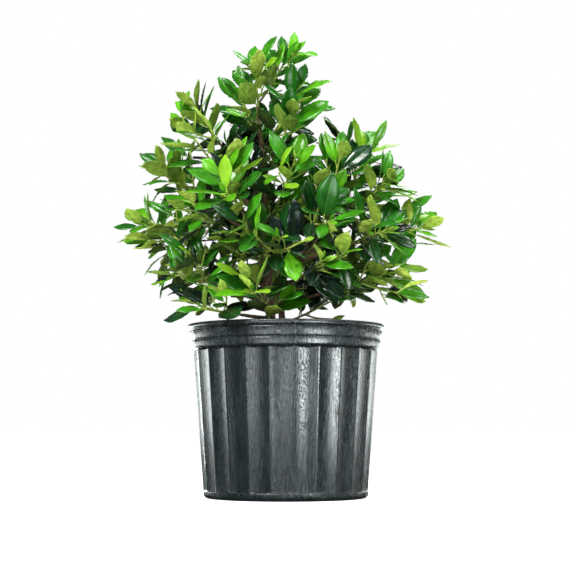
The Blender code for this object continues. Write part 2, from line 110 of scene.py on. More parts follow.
# %% Shader sockets as numbers
class Number:
    """One socket of a node tree, which can be used in Python expressions."""

    def __init__(self, nodes, socket):
        self.nodes = nodes
        self.socket = socket

    def maths(self, operation, first, second):
        return self.nodes.node("ShaderNodeMath", {"operation": operation}, {0: first, 1: second})

    __add__ = lambda self, other: self.maths("ADD", self, other)
    __radd__ = lambda self, other: self.maths("ADD", other, self)
    __sub__ = lambda self, other: self.maths("SUBTRACT", self, other)
    __rsub__ = lambda self, other: self.maths("SUBTRACT", other, self)
    __mul__ = lambda self, other: self.maths("MULTIPLY", self, other)
    __rmul__ = lambda self, other: self.maths("MULTIPLY", other, self)


# %% A node tree, and a finish
class Nodes:
    """A node tree to which nodes and links can be added."""

    def __init__(self, tree):
        self.tree = tree

    def fill(self, socket, value):
        if isinstance(value, Number):
            self.tree.links.new(value.socket, socket)
        elif socket.type == "RGBA":
            socket.default_value = (*value, 1)
        else:
            socket.default_value = value

    def ray(self, kind):
        """1 for a ray of that kind, such as Camera or Glossy, and otherwise 0."""
        return self.node("ShaderNodeLightPath", out=f"Is {kind} Ray")

    def node(self, kind, settings=None, values=None, out=0):
        """A node of any kind: first its settings, then the values or links of its sockets."""
        made = self.tree.nodes.new(kind)
        for name, value in (settings or {}).items():
            setattr(made, name, value)
        for name, value in (values or {}).items():
            self.fill(made.inputs[name], value)
        return Number(self, made.outputs[out])


class Finish(Nodes):
    """One material. Even values are set on the shader's own sockets; what varies is linked with feed."""

    def __init__(self, name, colour, roughness, **even):
        self.material = bpy.data.materials.new(name)
        self.material.use_nodes = True
        super().__init__(self.material.node_tree)
        self.shader = self.tree.nodes["Principled BSDF"]
        for socket, value in {"Base Color": colour, "Roughness": roughness, **even}.items():
            self.feed(socket.replace("_", " "), value)
        self.place = self.node("ShaderNodeTexCoord", out="Object")

    def feed(self, socket, value):
        self.fill(self.shader.inputs[socket], value)

    def grain(self, per_metre, stretch=(1, 1, 1), detail=3):
        """Soft noise with that many grains in a metre, stretched along the axes."""
        spot = self.node("ShaderNodeMapping", values={"Vector": self.place, "Scale": stretch})
        return self.node("ShaderNodeTexNoise", values={"Vector": spot, "Scale": per_metre, "Detail": detail})

    def ramp(self, value, *stops):
        """Colours at places from 0 to 1, blended between."""
        made = self.node("ShaderNodeValToRGB", values={"Fac": value})
        elements = made.socket.node.color_ramp.elements
        while len(elements) < len(stops):
            elements.new(1)
        for element, (position, colour) in zip(elements, stops):
            element.position = position
            element.color = (*colour, 1)
        return made

    def tint(self, value, *stops):
        """Feeds the Base Color with the colours of a ramp."""
        self.feed("Base Color", self.ramp(value, *stops))

    def level(self, value, low, high, low_out=0.0, high_out=1.0):
        """The value's range from low to high, stretched to the out values and cut off beyond them."""
        return self.node("ShaderNodeMapRange", values={
            "Value": value, "From Min": low, "From Max": high, "To Min": low_out, "To Max": high_out})

    def mix(self, share, first, second):
        """Colours mixed: the first where share is 0, the second where it is 1."""
        return self.node("ShaderNodeMix", {"data_type": "RGBA"}, {0: share, 6: first, 7: second}, out=2)

    def relief(self, height, depth, strength=1.0):
        """Feeds the shader's Normal with a bump of that depth, in metres."""
        bump = self.node("ShaderNodeBump", values={"Height": height, "Distance": depth, "Strength": strength})
        self.feed("Normal", bump)


# %% [markdown]
# A studio shot on white. The floor and the surround are white all round, but black plastic and glossy
# leaves would turn grey if they mirrored all of that white. In a studio, black cards lie and stand just
# out of the picture, and only a few bright boxes are left to be mirrored. Here the floor and the surround
# do the same, by Light Path nodes: they are white to the lens, far less as a fill light, and dark where
# something mirrors them. The big key box above on the left lights the leaves, and a smaller one above on
# the right keeps their far sides alive. The other boxes are low ones that only the pot should mirror. Two
# wide ones behind the plant at its sides draw the bright upright bands at the pot's edges. The pot widens
# upwards, so its front mirrors what is low: the two in front of it stand on the floor. Two more like
# them, and a soft box above, keep the back from going black. Three of the low boxes have a narrow beam,
# as behind a honeycomb grid: a wide one would also reach the pot's edge at a grazing angle, where any
# plastic mirrors nearly all of it, and burn that edge out.

# %% Floor and light
FLOOR_SIDE = 60
SURROUND_FILL = 0.24
SURROUND_MIRRORED = 0.1
FLOOR_GLOW = 0.84
FLOOR_BOUNCE = (0.95, 0.95, 0.93)
FLOOR_CARD = 0.04

PAPER = [(0.3, (0.9, 0.9, 0.9)), (0.7, (0.93, 0.93, 0.93))]

paper = Finish("studio_floor", PAPER[0][1], 0.7, Emission_Color=(1, 1, 1), Emission_Strength=FLOOR_GLOW)
paper.tint(paper.grain(3, detail=2), *PAPER)
white_floor = Number(paper, paper.shader.outputs["BSDF"])
bounce = paper.node("ShaderNodeBsdfDiffuse", values={"Color": FLOOR_BOUNCE})
card = paper.node("ShaderNodeEmission", values={"Color": (1, 1, 1), "Strength": FLOOR_CARD})
unseen = paper.node("ShaderNodeMixShader", values={0: paper.ray("Glossy"), 1: bounce, 2: card})
floor_shown = paper.node("ShaderNodeMixShader", values={0: paper.ray("Camera"), 1: unseen, 2: white_floor})
paper.fill(paper.tree.nodes["Material Output"].inputs["Surface"], floor_shown)
bpy.ops.mesh.primitive_plane_add(size=FLOOR_SIDE)
floor = bpy.context.object
floor.name = "studio_floor"
floor.data.materials.append(paper.material)

world = bpy.data.worlds.new("white_surround")
world.use_nodes = True
surround = Nodes(world.node_tree)
to_lens, mirrored = surround.ray("Camera"), surround.ray("Glossy")
as_light = (1 - mirrored) * SURROUND_FILL + mirrored * SURROUND_MIRRORED
background = world.node_tree.nodes["Background"]
surround.fill(background.inputs["Color"], (1, 1, 1))
surround.fill(background.inputs["Strength"], to_lens + (1 - to_lens) * as_light)
bpy.context.scene.world = world
bpy.context.scene.view_settings.view_transform = "Standard"
print("white floor of", FLOOR_SIDE, "m and a white surround")

# %% Lamps
Lamp = namedtuple("Lamp", "name place size watts beam only_mirrored")
LAMPS = [Lamp(*row) for row in [
    ("key_box", (-1.1, -1.7, 1.9), (0.8, 0.8), 78, 180, False),
    ("top_box", (0.9, -0.6, 1.7), (0.7, 0.7), 20, 180, False),
    ("back_top_box", (0.45, 1.1, 1.85), (0.9, 0.9), 20, 180, False),
    ("left_box", (-1.28, 0.94, 0.14), (1.3, 0.3), 8, 180, True),
    ("right_box", (1.28, 0.94, 0.14), (1.3, 0.3), 8, 180, True),
    ("right_front_box", (0.425, -0.63, 0.14), (0.34, 0.27), 0.62, 40, True),
    ("left_front_box", (-0.2, -0.74, 0.14), (0.46, 0.27), 2.8, 180, True),
    ("right_back_box", (-0.3, 0.7, 0.14), (0.3, 0.27), 0.4, 40, True),
    ("left_back_box", (0.2, 0.74, 0.14), (0.46, 0.27), 0.2, 40, True),
]]
COOL = (0.92, 1, 0.985)
AIM = Vector((0, 0, 0.14))
for lamp in LAMPS:
    light = bpy.data.lights.new(lamp.name, "AREA")
    light.shape = "RECTANGLE"
    light.size, light.size_y = lamp.size
    light.energy = lamp.watts
    light.spread = radians(lamp.beam)
    light.color = COOL if lamp.only_mirrored else (1, 1, 1)
    shown = put(lamp.name, light)
    shown.location = lamp.place
    shown.rotation_euler = (AIM - shown.location).to_track_quat("-Z", "Y").to_euler()
    shown.visible_camera = False
    shown.visible_diffuse = not lamp.only_mirrored
print(len(LAMPS), "lamps")

# %% [markdown]
# Most pieces are thousands of small closed skins in one mesh: leaves, shoots, chips of bark. An object
# for each, joined later, would be slow, so their points and faces are gathered first and made into a mesh
# once. Each face also says which of the piece's finishes it takes.

# %% Gathering many skins into one mesh
Skin = namedtuple("Skin", "points faces slots")


class Piece:
    """Skins that end up as one mesh, with a finish for each slot."""

    def __init__(self, name, *finishes):
        self.name = name
        self.finishes = finishes
        self.skins = []

    def build(self, record_slot, *replaced):
        """One smooth mesh that rides on the plant's body; it hides the nodes it replaces. record_slot is not
        used.
        """
        mesh = bpy.data.meshes.new(self.name)
        faces, slots, shift = [], [], 0
        for skin in self.skins:
            faces += [tuple(corner + shift for corner in face) for face in skin.faces]
            slots += skin.slots
            shift += len(skin.points)
        mesh.from_pydata(np.concatenate([skin.points for skin in self.skins]).tolist(), [], faces)
        mesh.polygons.foreach_set("material_index", slots)
        mesh.polygons.foreach_set("use_smooth", [True] * len(faces))
        for finish in self.finishes:
            mesh.materials.append(finish.material)
        mesh.update()
        made = put(self.name, mesh)
        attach(made, "root")
        if replaced:
            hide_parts(*replaced)
        print(self.name, sum(len(face) - 2 for face in faces), "triangles")
        return made


def capped_faces(rows, columns):
    """Rings of points joined to a tube, with a fan at each end: the two pole points follow the rings."""
    last, start = (rows - 1) * columns, rows * columns
    around = [(j, (j + 1) % columns) for j in range(columns)]
    faces = [(i + j, i + k, i + columns + k, i + columns + j)
             for i in range(0, last, columns) for j, k in around]
    for j, k in around:
        faces += [(k, j, start), (last + j, last + k, start + 1)]
    return faces


def even_skin(points, faces):
    """A skin with one finish all over."""
    return Skin(np.array(points), faces, [0] * len(faces))


# %% [markdown]
# The pot is blow-moulded plastic: one thin skin with hollow flutes that meet in sharp edges, as on a
# Doric column, and a collar of three bands. A Screw modifier would turn the profile but not flute it.
# Here the profile is a short list of radius and height, once round the outside and once back down the
# inside, and each ring of points dips in the flutes. A flute's hollow is a parabola, cut off at its ends
# by a slanted ledge, which gives the ends their arched outline. The mould's seam is a few extra columns
# of points that stand a little proud.

# %% The pot's sizes
WALL_FOOT = (116.5, 6)
WALL_TOP = (131.6, 209.5)
SHELL = 2.0
FLUTES = 24
FIRST_ARRIS = 275.3
FLUTE_DEPTH = 3.7
FLUTE_LOW = 11
FLUTE_HIGH = 209
LEDGE_SLOPE = 2.2
COLUMNS_PER_FLUTE = 18
SEAM_TURNS = (275.3, 95.3)
SEAM_WIDTH = 0.28
SEAM_HEIGHT = 0.35
SEAM_FOOT = 2
NICK_GRAIN = 0.12
OUTER_HEIGHTS = [*np.linspace(6, 16, 12), *np.linspace(21, 198, 24), *np.linspace(201, 209.4, 14)]
INNER_ROWS = 12
FOOT_CURVE = [(0, 0), (50, 0), (90, 0), (108, 0), (111, 0.3), (114, 1.4), (115.8, 3.2)]
COLLAR_CURVE = [
    (131.8, 209.6), (134.9, 209.8), (136, 210.4), (136.6, 211.6), (136.9, 213.6), (137.1, 219.4),
    (136.9, 220.7), (136, 221.4), (135.7, 221.9), (135.9, 222.4), (137, 223), (137.4, 224.1),
    (137.6, 229), (137.6, 235), (137.3, 236.1), (136.4, 236.7), (136.5, 237.3), (138.2, 237.7),
    (139.5, 238.4), (140, 239.7), (140, 242.4), (139.6, 243.9), (138.6, 244.8), (137.4, 245),
    (136.2, 244.8), (135.2, 244), (134.9, 242.6), (134.9, 238), (135.2, 226), (134.4, 219),
    (133.6, 212), (130.6, 209),
]
INNER_FLOOR = [(113.4, 4), (108, 2.2), (50, 2), (0, 2)]


def wall_radius(height):
    share = (height - WALL_FOOT[1]) / (WALL_TOP[1] - WALL_FOOT[1])
    return WALL_FOOT[0] + (WALL_TOP[0] - WALL_FOOT[0]) * share


# %% The pot's skin
def apart(turn, other):
    """The angle between two turns, in degrees."""
    return abs((turn - other + 180) % 360 - 180)


def pot_columns():
    """The turns of the columns of points, in degrees, with close ones at the two seams."""
    pitch = 360 / FLUTES
    turns = [FIRST_ARRIS + pitch * i / COLUMNS_PER_FLUTE for i in range(FLUTES * COLUMNS_PER_FLUTE)]
    for middle in SEAM_TURNS:
        turns = [turn for turn in turns if apart(turn, middle) > 2 * SEAM_WIDTH]
        turns += [middle + SEAM_WIDTH * step for step in (-1, -0.4, 0.4, 1)]
    return sorted(turn % 360 for turn in turns)


def hollow(turn, height):
    """How deep the wall dips there: most in the middle of a flute, nothing at its edges or past its ends."""
    share = (turn - FIRST_ARRIS) * FLUTES / 360 % 1
    end = min(height - FLUTE_LOW, FLUTE_HIGH - height) * LEDGE_SLOPE
    return max(min(FLUTE_DEPTH * 4 * share * (1 - share), end), 0)


def seam(turn, height):
    """The seam's rib, broken here and there by nicks."""
    near = min(apart(turn, middle) for middle in SEAM_TURNS)
    nicked = noise.noise(Vector((near, 0, height * NICK_GRAIN)))
    return SEAM_HEIGHT * (0.4 + nicked) if near < SEAM_WIDTH / 2 and height > SEAM_FOOT else 0


def pot_rows():
    """Radius, height, share of the hollow and of the seam for each ring, up outside and down inside."""
    rows = [(radius, height, 0, 0) for radius, height in FOOT_CURVE[1:]]
    rows += [(wall_radius(height), height, 1, 1) for height in OUTER_HEIGHTS]
    rows += [(radius, height, 0, 1) for radius, height in COLLAR_CURVE]
    for i in range(INNER_ROWS):
        height = WALL_TOP[1] - SHELL - (WALL_TOP[1] - WALL_FOOT[1] - 2 * SHELL) * i / (INNER_ROWS - 1)
        rows.append((wall_radius(height) - SHELL, height, 1, 0))
    return rows + [(radius, height, 0, 0) for radius, height in INNER_FLOOR[:-1]]


def pot_skin():
    turns, rows = pot_columns(), pot_rows()
    points = []
    for radius, height, fluted, seamed in rows:
        for turn in turns:
            reach = (radius - fluted * hollow(turn, height) + seamed * seam(turn, height)) * MM
            points.append((reach * cos(radians(turn)), reach * sin(radians(turn)), height * MM))
    points += [(0, 0, FOOT_CURVE[0][1] * MM), (0, 0, INNER_FLOOR[-1][1] * MM)]
    return even_skin(points, capped_faces(len(rows), len(turns)))


# %% [markdown]
# The plastic is a satin charcoal, not an even black. Moulding leaves fine upright streaks in it, and a
# scuffed grain that catches the light as many small glints. Both are noise stretched along the height:
# one changes the roughness, so that a highlight breaks up into streaks, and one is relief.

# %% The pot's plastic
plastic = Finish("satin_charcoal_plastic", (0.01, 0.013, 0.013), 0.35, Specular_IOR_Level=0.5)
streaks = plastic.grain(420, (1, 1, 0.06), detail=4)
pebbles = plastic.level(plastic.grain(560, (1, 1, 0.75), detail=2), 0.5, 0.72)
clouds = plastic.grain(26, (1, 1, 0.4), detail=2)
plastic.tint(streaks * 0.7 + clouds * 0.3,
             (0.3, (0.005, 0.008, 0.01)), (0.55, (0.01, 0.016, 0.018)), (0.8, (0.024, 0.035, 0.038)))
plastic.feed("Roughness", plastic.level(streaks, 0.3, 0.7, 0.16, 0.34))
plastic.relief(streaks * 0.3 + pebbles * plastic.level(clouds, 0.4, 0.6, 0.3, 1), 0.0006, 0.9)

pot = Piece("nursery_pot_moulded", plastic)
pot.skins.append(pot_skin())
pot = pot.build("pot_plastic", "nursery_pot")

# %% [markdown]
# Five round holes drain the floor. A hole through a closed skin is a Boolean cut with a cylinder.

# %% Drain holes
DRAIN_HOLES = 5
DRAIN_RADIUS = 8 * MM
DRAIN_REACH = 82 * MM
DRILL_LENGTH = 12 * MM
for i in range(DRAIN_HOLES):
    turn = tau * i / DRAIN_HOLES
    bpy.ops.mesh.primitive_cylinder_add(
        vertices=32, radius=DRAIN_RADIUS, depth=DRILL_LENGTH,
        location=(DRAIN_REACH * sin(turn), DRAIN_REACH * cos(turn), 0))
    drill = bpy.context.object
    cut = pot.modifiers.new("drain", "BOOLEAN")
    cut.operation = "DIFFERENCE"
    cut.solver = "MANIFOLD"
    cut.object = drill
    drilled = bpy.data.meshes.new_from_object(pot.evaluated_get(bpy.context.evaluated_depsgraph_get()))
    pot.modifiers.remove(cut)
    pot.data = drilled
    bpy.data.objects.remove(drill, do_unlink=True)
print("pot drilled:", len(pot.data.polygons), "faces")

# %% [markdown]
# The potting mix is bark fines and peat with white grains of perlite. Its surface is a disc of rings
# lifted by noise, mounded a little round the stems; the rest of the plug follows the pot's wall down to
# its floor. Chips and grains are gathered from one rough ball each, squashed and turned at random from a
# seed.

# %% The soil's skin
SOIL_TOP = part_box("potting_soil")[1].z
SOIL_ROWS = 46
SOIL_COLUMNS = 150
SOIL_SIDE = [(133, 213), (128.6, 208.5), (124.4, 200), (110.9, 16), (108, 3)]
SOIL_REACH = 133.6
SOIL_SUNK = 3.2
CLOD_GRAIN, CLOD_LIFT = 0.11, 2.0
SWELL_GRAIN, SWELL_LIFT = 0.025, 2.5
MOUND, MOUND_REACH = 4, 45
STEM_FEET = [Vector((-20, 0)), Vector((-2.5, 4))]


def soil_height(x, y):
    """Height of the surface in mm: fine clods on broad swells, mounded at the stems and lower at the pot."""
    spot = Vector((x, y, 0))
    clods = noise.fractal(spot * CLOD_GRAIN, 0.8, 2.2, 4) * CLOD_LIFT
    swells = noise.noise(spot * SWELL_GRAIN) * SWELL_LIFT
    mound = MOUND * exp(-((spot.xy - STEM_FEET[0]).length / MOUND_REACH) ** 2)
    return SOIL_TOP / MM - SOIL_SUNK + (clods + swells) * 0.8 + mound


def soil_skin():
    """Rings from the middle outwards that follow the surface, and then down the side at the heights given."""
    rings = [(SOIL_REACH * i / SOIL_ROWS, None) for i in range(1, SOIL_ROWS + 1)] + SOIL_SIDE
    points = []
    for radius, height in rings:
        for turn in [tau * j / SOIL_COLUMNS for j in range(SOIL_COLUMNS)]:
            x, y = radius * cos(turn), radius * sin(turn)
            points.append((x, y, height or soil_height(x, y)))
    points += [(0, 0, soil_height(0, 0)), (0, 0, SOIL_SIDE[-1][1])]
    faces = [face[::-1] for face in capped_faces(len(rings), SOIL_COLUMNS)]
    return even_skin(np.array(points) * MM, faces)


peat = Finish("peat_and_bark", (0.03, 0.016, 0.011), 0.95)
clods = peat.grain(260, detail=6)
peat.tint(clods, (0.35, (0.008, 0.004, 0.003)), (0.5, (0.035, 0.017, 0.012)), (0.7, (0.09, 0.045, 0.03)))
peat.relief(clods, 0.002)
soil = Piece("soil_surface", peat)
soil.skins.append(soil_skin())
soil.build("potting_soil", "potting_soil")

# %% Chips of bark and grains of perlite
CHIP_COUNT = 1100
PERLITE_COUNT = 150
LITTER_SEED = 5
ROUGH = (0.75, 1.1)
LITTER_TILT = 0.5
STEM_ROOM = 11


def rough_ball():
    """A ball of 20 faces, as arrays of points and faces."""
    bm = bmesh.new()
    bmesh.ops.create_icosphere(bm, subdivisions=1, radius=1)
    points = np.array([point.co for point in bm.verts])
    faces = [tuple(point.index for point in face.verts) for face in bm.faces]
    bm.free()
    return points, faces


def litter(name, finish, count, low, high, rng):
    """Small lumps lying on the soil, each between the low and the high size along its three axes, in mm."""
    ball, faces = rough_ball()
    piece = Piece(name, finish)
    for _ in range(count):
        reach = (SOIL_REACH - high[0]) * sqrt(rng.random())
        turn = rng.uniform(0, tau)
        x, y = reach * cos(turn), reach * sin(turn)
        size = np.array([rng.uniform(a, b) for a, b in zip(low, high)]) / 2
        rough = np.array([rng.uniform(*ROUGH) for _ in ball])[:, None]
        spin = Matrix.Rotation(rng.uniform(0, tau), 3, "Z")
        spin @= Matrix.Rotation(rng.uniform(-LITTER_TILT, LITTER_TILT), 3, "X")
        if min((Vector((x, y)) - foot).length for foot in STEM_FEET) < high[0] / 2 + STEM_ROOM:
            continue
        points = (ball * rough * size) @ np.array(spin).T + (x, y, soil_height(x, y) + size[2] * 0.5)
        piece.skins.append(even_skin(points * MM, faces))
    return piece.build("potting_soil")


chip = Finish("bark_chip", (0.07, 0.032, 0.02), 0.85)
chip.tint(chip.grain(140, detail=1),
          (0.3, (0.022, 0.01, 0.007)), (0.55, (0.075, 0.034, 0.022)), (0.8, (0.16, 0.085, 0.055)))
chip.relief(chip.grain(900, (1, 0.3, 1)), 0.0006)
perlite = Finish("perlite", (0.72, 0.7, 0.66), 0.8)
perlite.relief(perlite.grain(1200), 0.0005)
rng = random.Random(LITTER_SEED)
litter("bark_chips", chip, CHIP_COUNT, (2, 1.2, 0.8), (8, 3.2, 2), rng)
litter("perlite_grains", perlite, PERLITE_COUNT, (1.2, 1.2, 1), (3.4, 3, 2.4), rng)

# %% [markdown]
# Now the plant. Its solids were grown by a rule: two stems, and from each of them sprays whose ends are
# known, with a bough where the way is long, side shoots, and leaves in a spiral that crowds towards the
# tip. The next cells write that rule again with the same sizes, the same seed and the same order of
# draws, so that each leaf here lies where its solid does, and can then be given its real outline. First
# the sizes.

# %% Stems and sprays
CLEAR = 0.3 * MM
Stem = namedtuple("Stem", "name points base tip flare")
MAIN = Stem(
    "main_stem",
    [(-20, 0, 222.3), (-22, 0, 262), (-27, 0, 342), (-31, 2, 440), (-36, 2, 510), (-41, 0, 566)],
    6.6 * MM, 2.0 * MM, 3.4 * MM,
)
RIGHT = Stem(
    "right_stem",
    [(-2.5, 4, 222.3), (-6, 6, 262), (-7, 9, 318), (28, 12, 350), (62, 8, 398), (92, 4, 442)],
    4.4 * MM, 1.9 * MM, 1.2 * MM,
)
STEM_STEPS = 13
TAPER_POWER = 1.25
FLARE_SPAN = 0.09

# The last value of each spray is its tone: 0 for near-black old leaves, 1 for yellow-green young ones.
Spray = namedtuple("Spray", "name stem foot right back up side_shoots tone")
SPRAYS = [Spray(*row) for row in [
    ("leader", MAIN, 566, 3, 0, 638, 0, 0.6),
    ("crest_left", MAIN, 545, -44, -14, 622, 0, 0.6),
    ("crest_low_left", MAIN, 515, -64, -10, 574, 0, 0.5),
    ("crest_right", MAIN, 500, 20, -24, 586, 0, 0.55),
    ("crest_low_right", MAIN, 460, 8, -44, 538, 0, 0.45),
    ("crest_back", MAIN, 480, -20, 55, 555, 1, 0.4),
    ("spire_front", MAIN, 385, 12, -66, 470, 1, 0.7),
    ("left_shoulder_top", MAIN, 430, -127, 0, 555, 1, 0.55),
    ("left_shoulder_inner", MAIN, 412, -84, -32, 500, 1, 0.12),
    ("left_shoulder", MAIN, 396, -130, -40, 508, 1, 0.65),
    ("left_upper", MAIN, 362, -174, 10, 476, 1, 0.55),
    ("left_front", MAIN, 350, -86, -86, 446, 2, 0.7),
    ("left_middle", MAIN, 330, -128, -45, 412, 1, 0.55),
    ("left_tip", MAIN, 300, -194, 4, 394, 2, 0.6),
    ("left_low", MAIN, 276, -152, -30, 322, 2, 0.5),
    ("rim_left", MAIN, 254, -112, -110, 260, 1, 0.3),
    ("low_front", MAIN, 268, -46, -112, 284, 1, 0.65),
    ("centre_front", MAIN, 300, -8, -112, 356, 2, 0.4),
    ("centre_left", MAIN, 322, -58, -96, 380, 2, 0.5),
    ("centre_right", RIGHT, 345, 46, -88, 404, 2, 0.5),
    ("centre_low_right", RIGHT, 292, 48, -100, 326, 2, 0.3),
    ("right_inner", RIGHT, 378, 76, -44, 478, 1, 0.6),
    ("right_shoulder", RIGHT, 442, 116, 0, 498, 1, 0.65),
    ("right_shoulder_low", RIGHT, 408, 146, -26, 444, 1, 0.6),
    ("far_right", RIGHT, 352, 192, 0, 384, 1, 0.55),
    ("right_middle", RIGHT, 336, 138, -62, 374, 1, 0.35),
    ("right_low", RIGHT, 276, 152, -46, 318, 2, 0.6),
    ("low_right", RIGHT, 247, 96, 30, 300, 1, 0.4),
    ("back_low_left", MAIN, 284, -100, 118, 345, 2, 0.45),
    ("back_low", RIGHT, 290, 4, 142, 350, 2, 0.5),
    ("back_low_right", RIGHT, 304, 108, 110, 352, 2, 0.4),
    ("back_left", MAIN, 346, -126, 84, 424, 2, 0.55),
    ("back_middle", MAIN, 372, -10, 118, 428, 2, 0.45),
    ("back_right", RIGHT, 392, 96, 84, 430, 2, 0.5),
    ("back_upper", MAIN, 434, -62, 72, 500, 1, 0.5),
]]
print(len(SPRAYS), "sprays")

# %% Boughs, shoots and leaves
BOUGH_REACH = 118 * MM
BOUGH_SHARE = 0.58
BOUGH_SIDES = 5
BOUGH_STEPS = 5
BOUGH_BASE = 2.1 * MM
BOUGH_GAIN = 0.006
FOOT_SHIFTS = [shift * MM for shift in (0, 7, -7, 14, -14, 21, -21)]
SPREAD_FIRST = 0.52
RISE_FIRST = 0.42
SHOOT_SIDES = 3
SHOOT_BASE = 2.0 * MM
SHOOT_TIP = 1.5 * MM
SHOOT_STEPS = 3
SHOOT_MARGIN = 0.5 * MM
SIDE_BASE = 1.7 * MM
SIDE_STEPS = 2
SIDE_LENGTH = (38 * MM, 56 * MM)
SIDE_ANGLE = 46.0
SIDE_RISE = 0.16
SIDE_TURN = 2.8
SIDE_FIRST = 0.12
SIDE_SPAN = 0.36

Leaf = namedtuple("Leaf", "base axis face length slimness bend fold")
LEAF_LENGTH = (60 * MM, 78 * MM)
LEAF_SLIMNESS = (0.37, 0.47)
LEAF_THICKNESS = 1.8 * MM
LEAF_SUNK = 0.5 * MM
LEAF_BEND = (8.0, 34.0)
LEAF_FOLD = (6.0, 20.0)
LEAF_NEAR = (0.4, 1.0)
LEAF_FAR = (0.74, 0.9)
LEAF_TOP = 0.5
LEAF_KEEL = 0.26
PETIOLE = 0.14
YOUNG_LEAVES = 2
YOUNG_SHARE = (0.62, 0.85)
LEAST_LEAVES = 5
LEAF_SPACING = 10.5 * MM
FIRST_LEAF = 0.16
LAST_LEAF = 0.975
CROWDING = 1.35
GOLDEN_TURN = radians(137.5)
LOW_LEAF_ANGLE = 78.0
TOP_LEAF_ANGLE = 34.0
ANGLE_SCATTER = 9.0
LEAF_RISE = 0.1
LOOK_UP = 0.75
LOOK_OUT = 0.7
LOOK_FROM = Vector((0, 55, 0)) * MM
LOOK_SCATTER = 0.3
LEAF_MARGIN = 0.6 * MM
SKIRT = 272 * MM
DROOP = 25 * MM
SPACE_SHARED = 12 * MM
TRIES = 5
NUDGE = 0.5
SEED = 10
CAP_WELD = 0.01 * MM
STEEP = 0.9
Grown = namedtuple("Grown", "spray bough shoots leaves")

# %% Paths
def smooth_path(points, steps):
    """Catmull-Rom curve through the points."""
    spots = [Vector(p) for p in points]
    spots = [2 * spots[0] - spots[1]] + spots + [2 * spots[-1] - spots[-2]]
    spans = len(points) - 1
    path = []
    for i in range(steps + 1):
        t = i / steps * spans
        k = min(int(t), spans - 1)
        t -= k
        a, b, c, d = spots[k:k + 4]
        path.append(0.5 * ((2 * b) + (c - a) * t + (2 * a - 5 * b + 4 * c - d) * t ** 2
                           + (3 * b - 3 * c + d - a) * t ** 3))
    return path


def tapered(first, last, steps):
    """Even steps from the first value to the last."""
    return [first + (last - first) * i / steps for i in range(steps + 1)]


def bend_path(start, middle, end, first, last, steps):
    """The stretch from first to last, as shares, of the curve that start, middle and end control."""
    return [start * (1 - t) ** 2 + middle * (2 * t * (1 - t)) + end * t ** 2
            for t in tapered(first, last, steps)]


def stem_line(stem):
    """A stem's path and its radii: it rises straight from the soil, tapers, and flares at the foot."""
    path = smooth_path([Vector(p) * MM for p in stem.points], STEM_STEPS)
    path[1].xy = path[0].xy
    radii = [stem.tip + (stem.base - stem.tip) * (1 - t) ** TAPER_POWER + stem.flare * exp(-t / FLARE_SPAN)
             for t in tapered(0, 1, STEM_STEPS)]
    return path, radii


def at_height(path, height):
    """The point of the path at that height, or its end."""
    for low, high in zip(path, path[1:]):
        if low.z <= height <= high.z:
            return low.lerp(high, (height - low.z) / (high.z - low.z))
    return path[-1].copy()


def spot_on(path, share):
    """The point and direction at a share of the path's steps."""
    at = min(share * (len(path) - 1), len(path) - 1.001)
    k = int(at)
    return path[k].lerp(path[k + 1], at - k), (path[k + 1] - path[k]).normalized()


def path_length(path):
    return sum((b - a).length for a, b in zip(path, path[1:]))


def crossways(tangent, turn):
    """The direction square to the tangent, turned about it."""
    side = tangent.cross(UP if abs(tangent.z) < STEEP else Vector((1, 0, 0))).normalized()
    return side * cos(turn) + tangent.cross(side) * sin(turn)


def leaning(tangent, turn, angle):
    """The direction that leans away from the tangent by that angle."""
    return tangent * cos(angle) + crossways(tangent, turn) * sin(angle)


def squared(vector, axis):
    """The part of the vector that is square to the axis, with length 1."""
    return (vector - axis * vector.dot(axis)).normalized()


def side_path(path, share, length, angle, turn):
    """A short path that leaves another at a share of it, by an angle in degrees, and turns up a little."""
    base, tangent = spot_on(path, share)
    way = leaning(tangent, turn, radians(angle))
    end = base + way * length + UP * length * SIDE_RISE
    return bend_path(base, base + way * length / 2, end, 0, 1, SIDE_STEPS)


def away(spot, path):
    """The distance from the spot to the nearest point of the path."""
    return min((spot - point).length for point in path)


def bough_girth(path):
    """The radius at a bough's foot, which grows with the whole way to its spray's end."""
    return BOUGH_BASE + BOUGH_GAIN * path_length(path) / BOUGH_SHARE


# %% [markdown]
# Growing needs to know what is in the way. Each limb and leaf in place is kept as a tree of its faces,
# which tells quickly whether a new one would touch it. A limb is tested as a tube and a leaf as a slim
# body of eight corners, as in the solids.

# %% What is in the way
def mesh_tree(mesh, weld=False):
    """The faces of the mesh; weld first joins a tube's caps to its sides."""
    bm = bmesh.new()
    bm.from_mesh(mesh)
    if weld:
        bmesh.ops.remove_doubles(bm, verts=bm.verts, dist=CAP_WELD)
        bmesh.ops.recalc_face_normals(bm, faces=bm.faces)
    tree = BVHTree.FromBMesh(bm)
    bm.free()
    return tree


def straight_curve(name, dimensions, spots):
    """A curve of straight stretches between the spots, as its data and its one spline."""
    data = bpy.data.curves.new(name, "CURVE")
    data.dimensions = dimensions
    spline = data.splines.new("POLY")
    spline.points.add(len(spots) - 1)
    for point, spot in zip(spline.points, spots):
        point.co = (*spot, 1)
    return data, spline


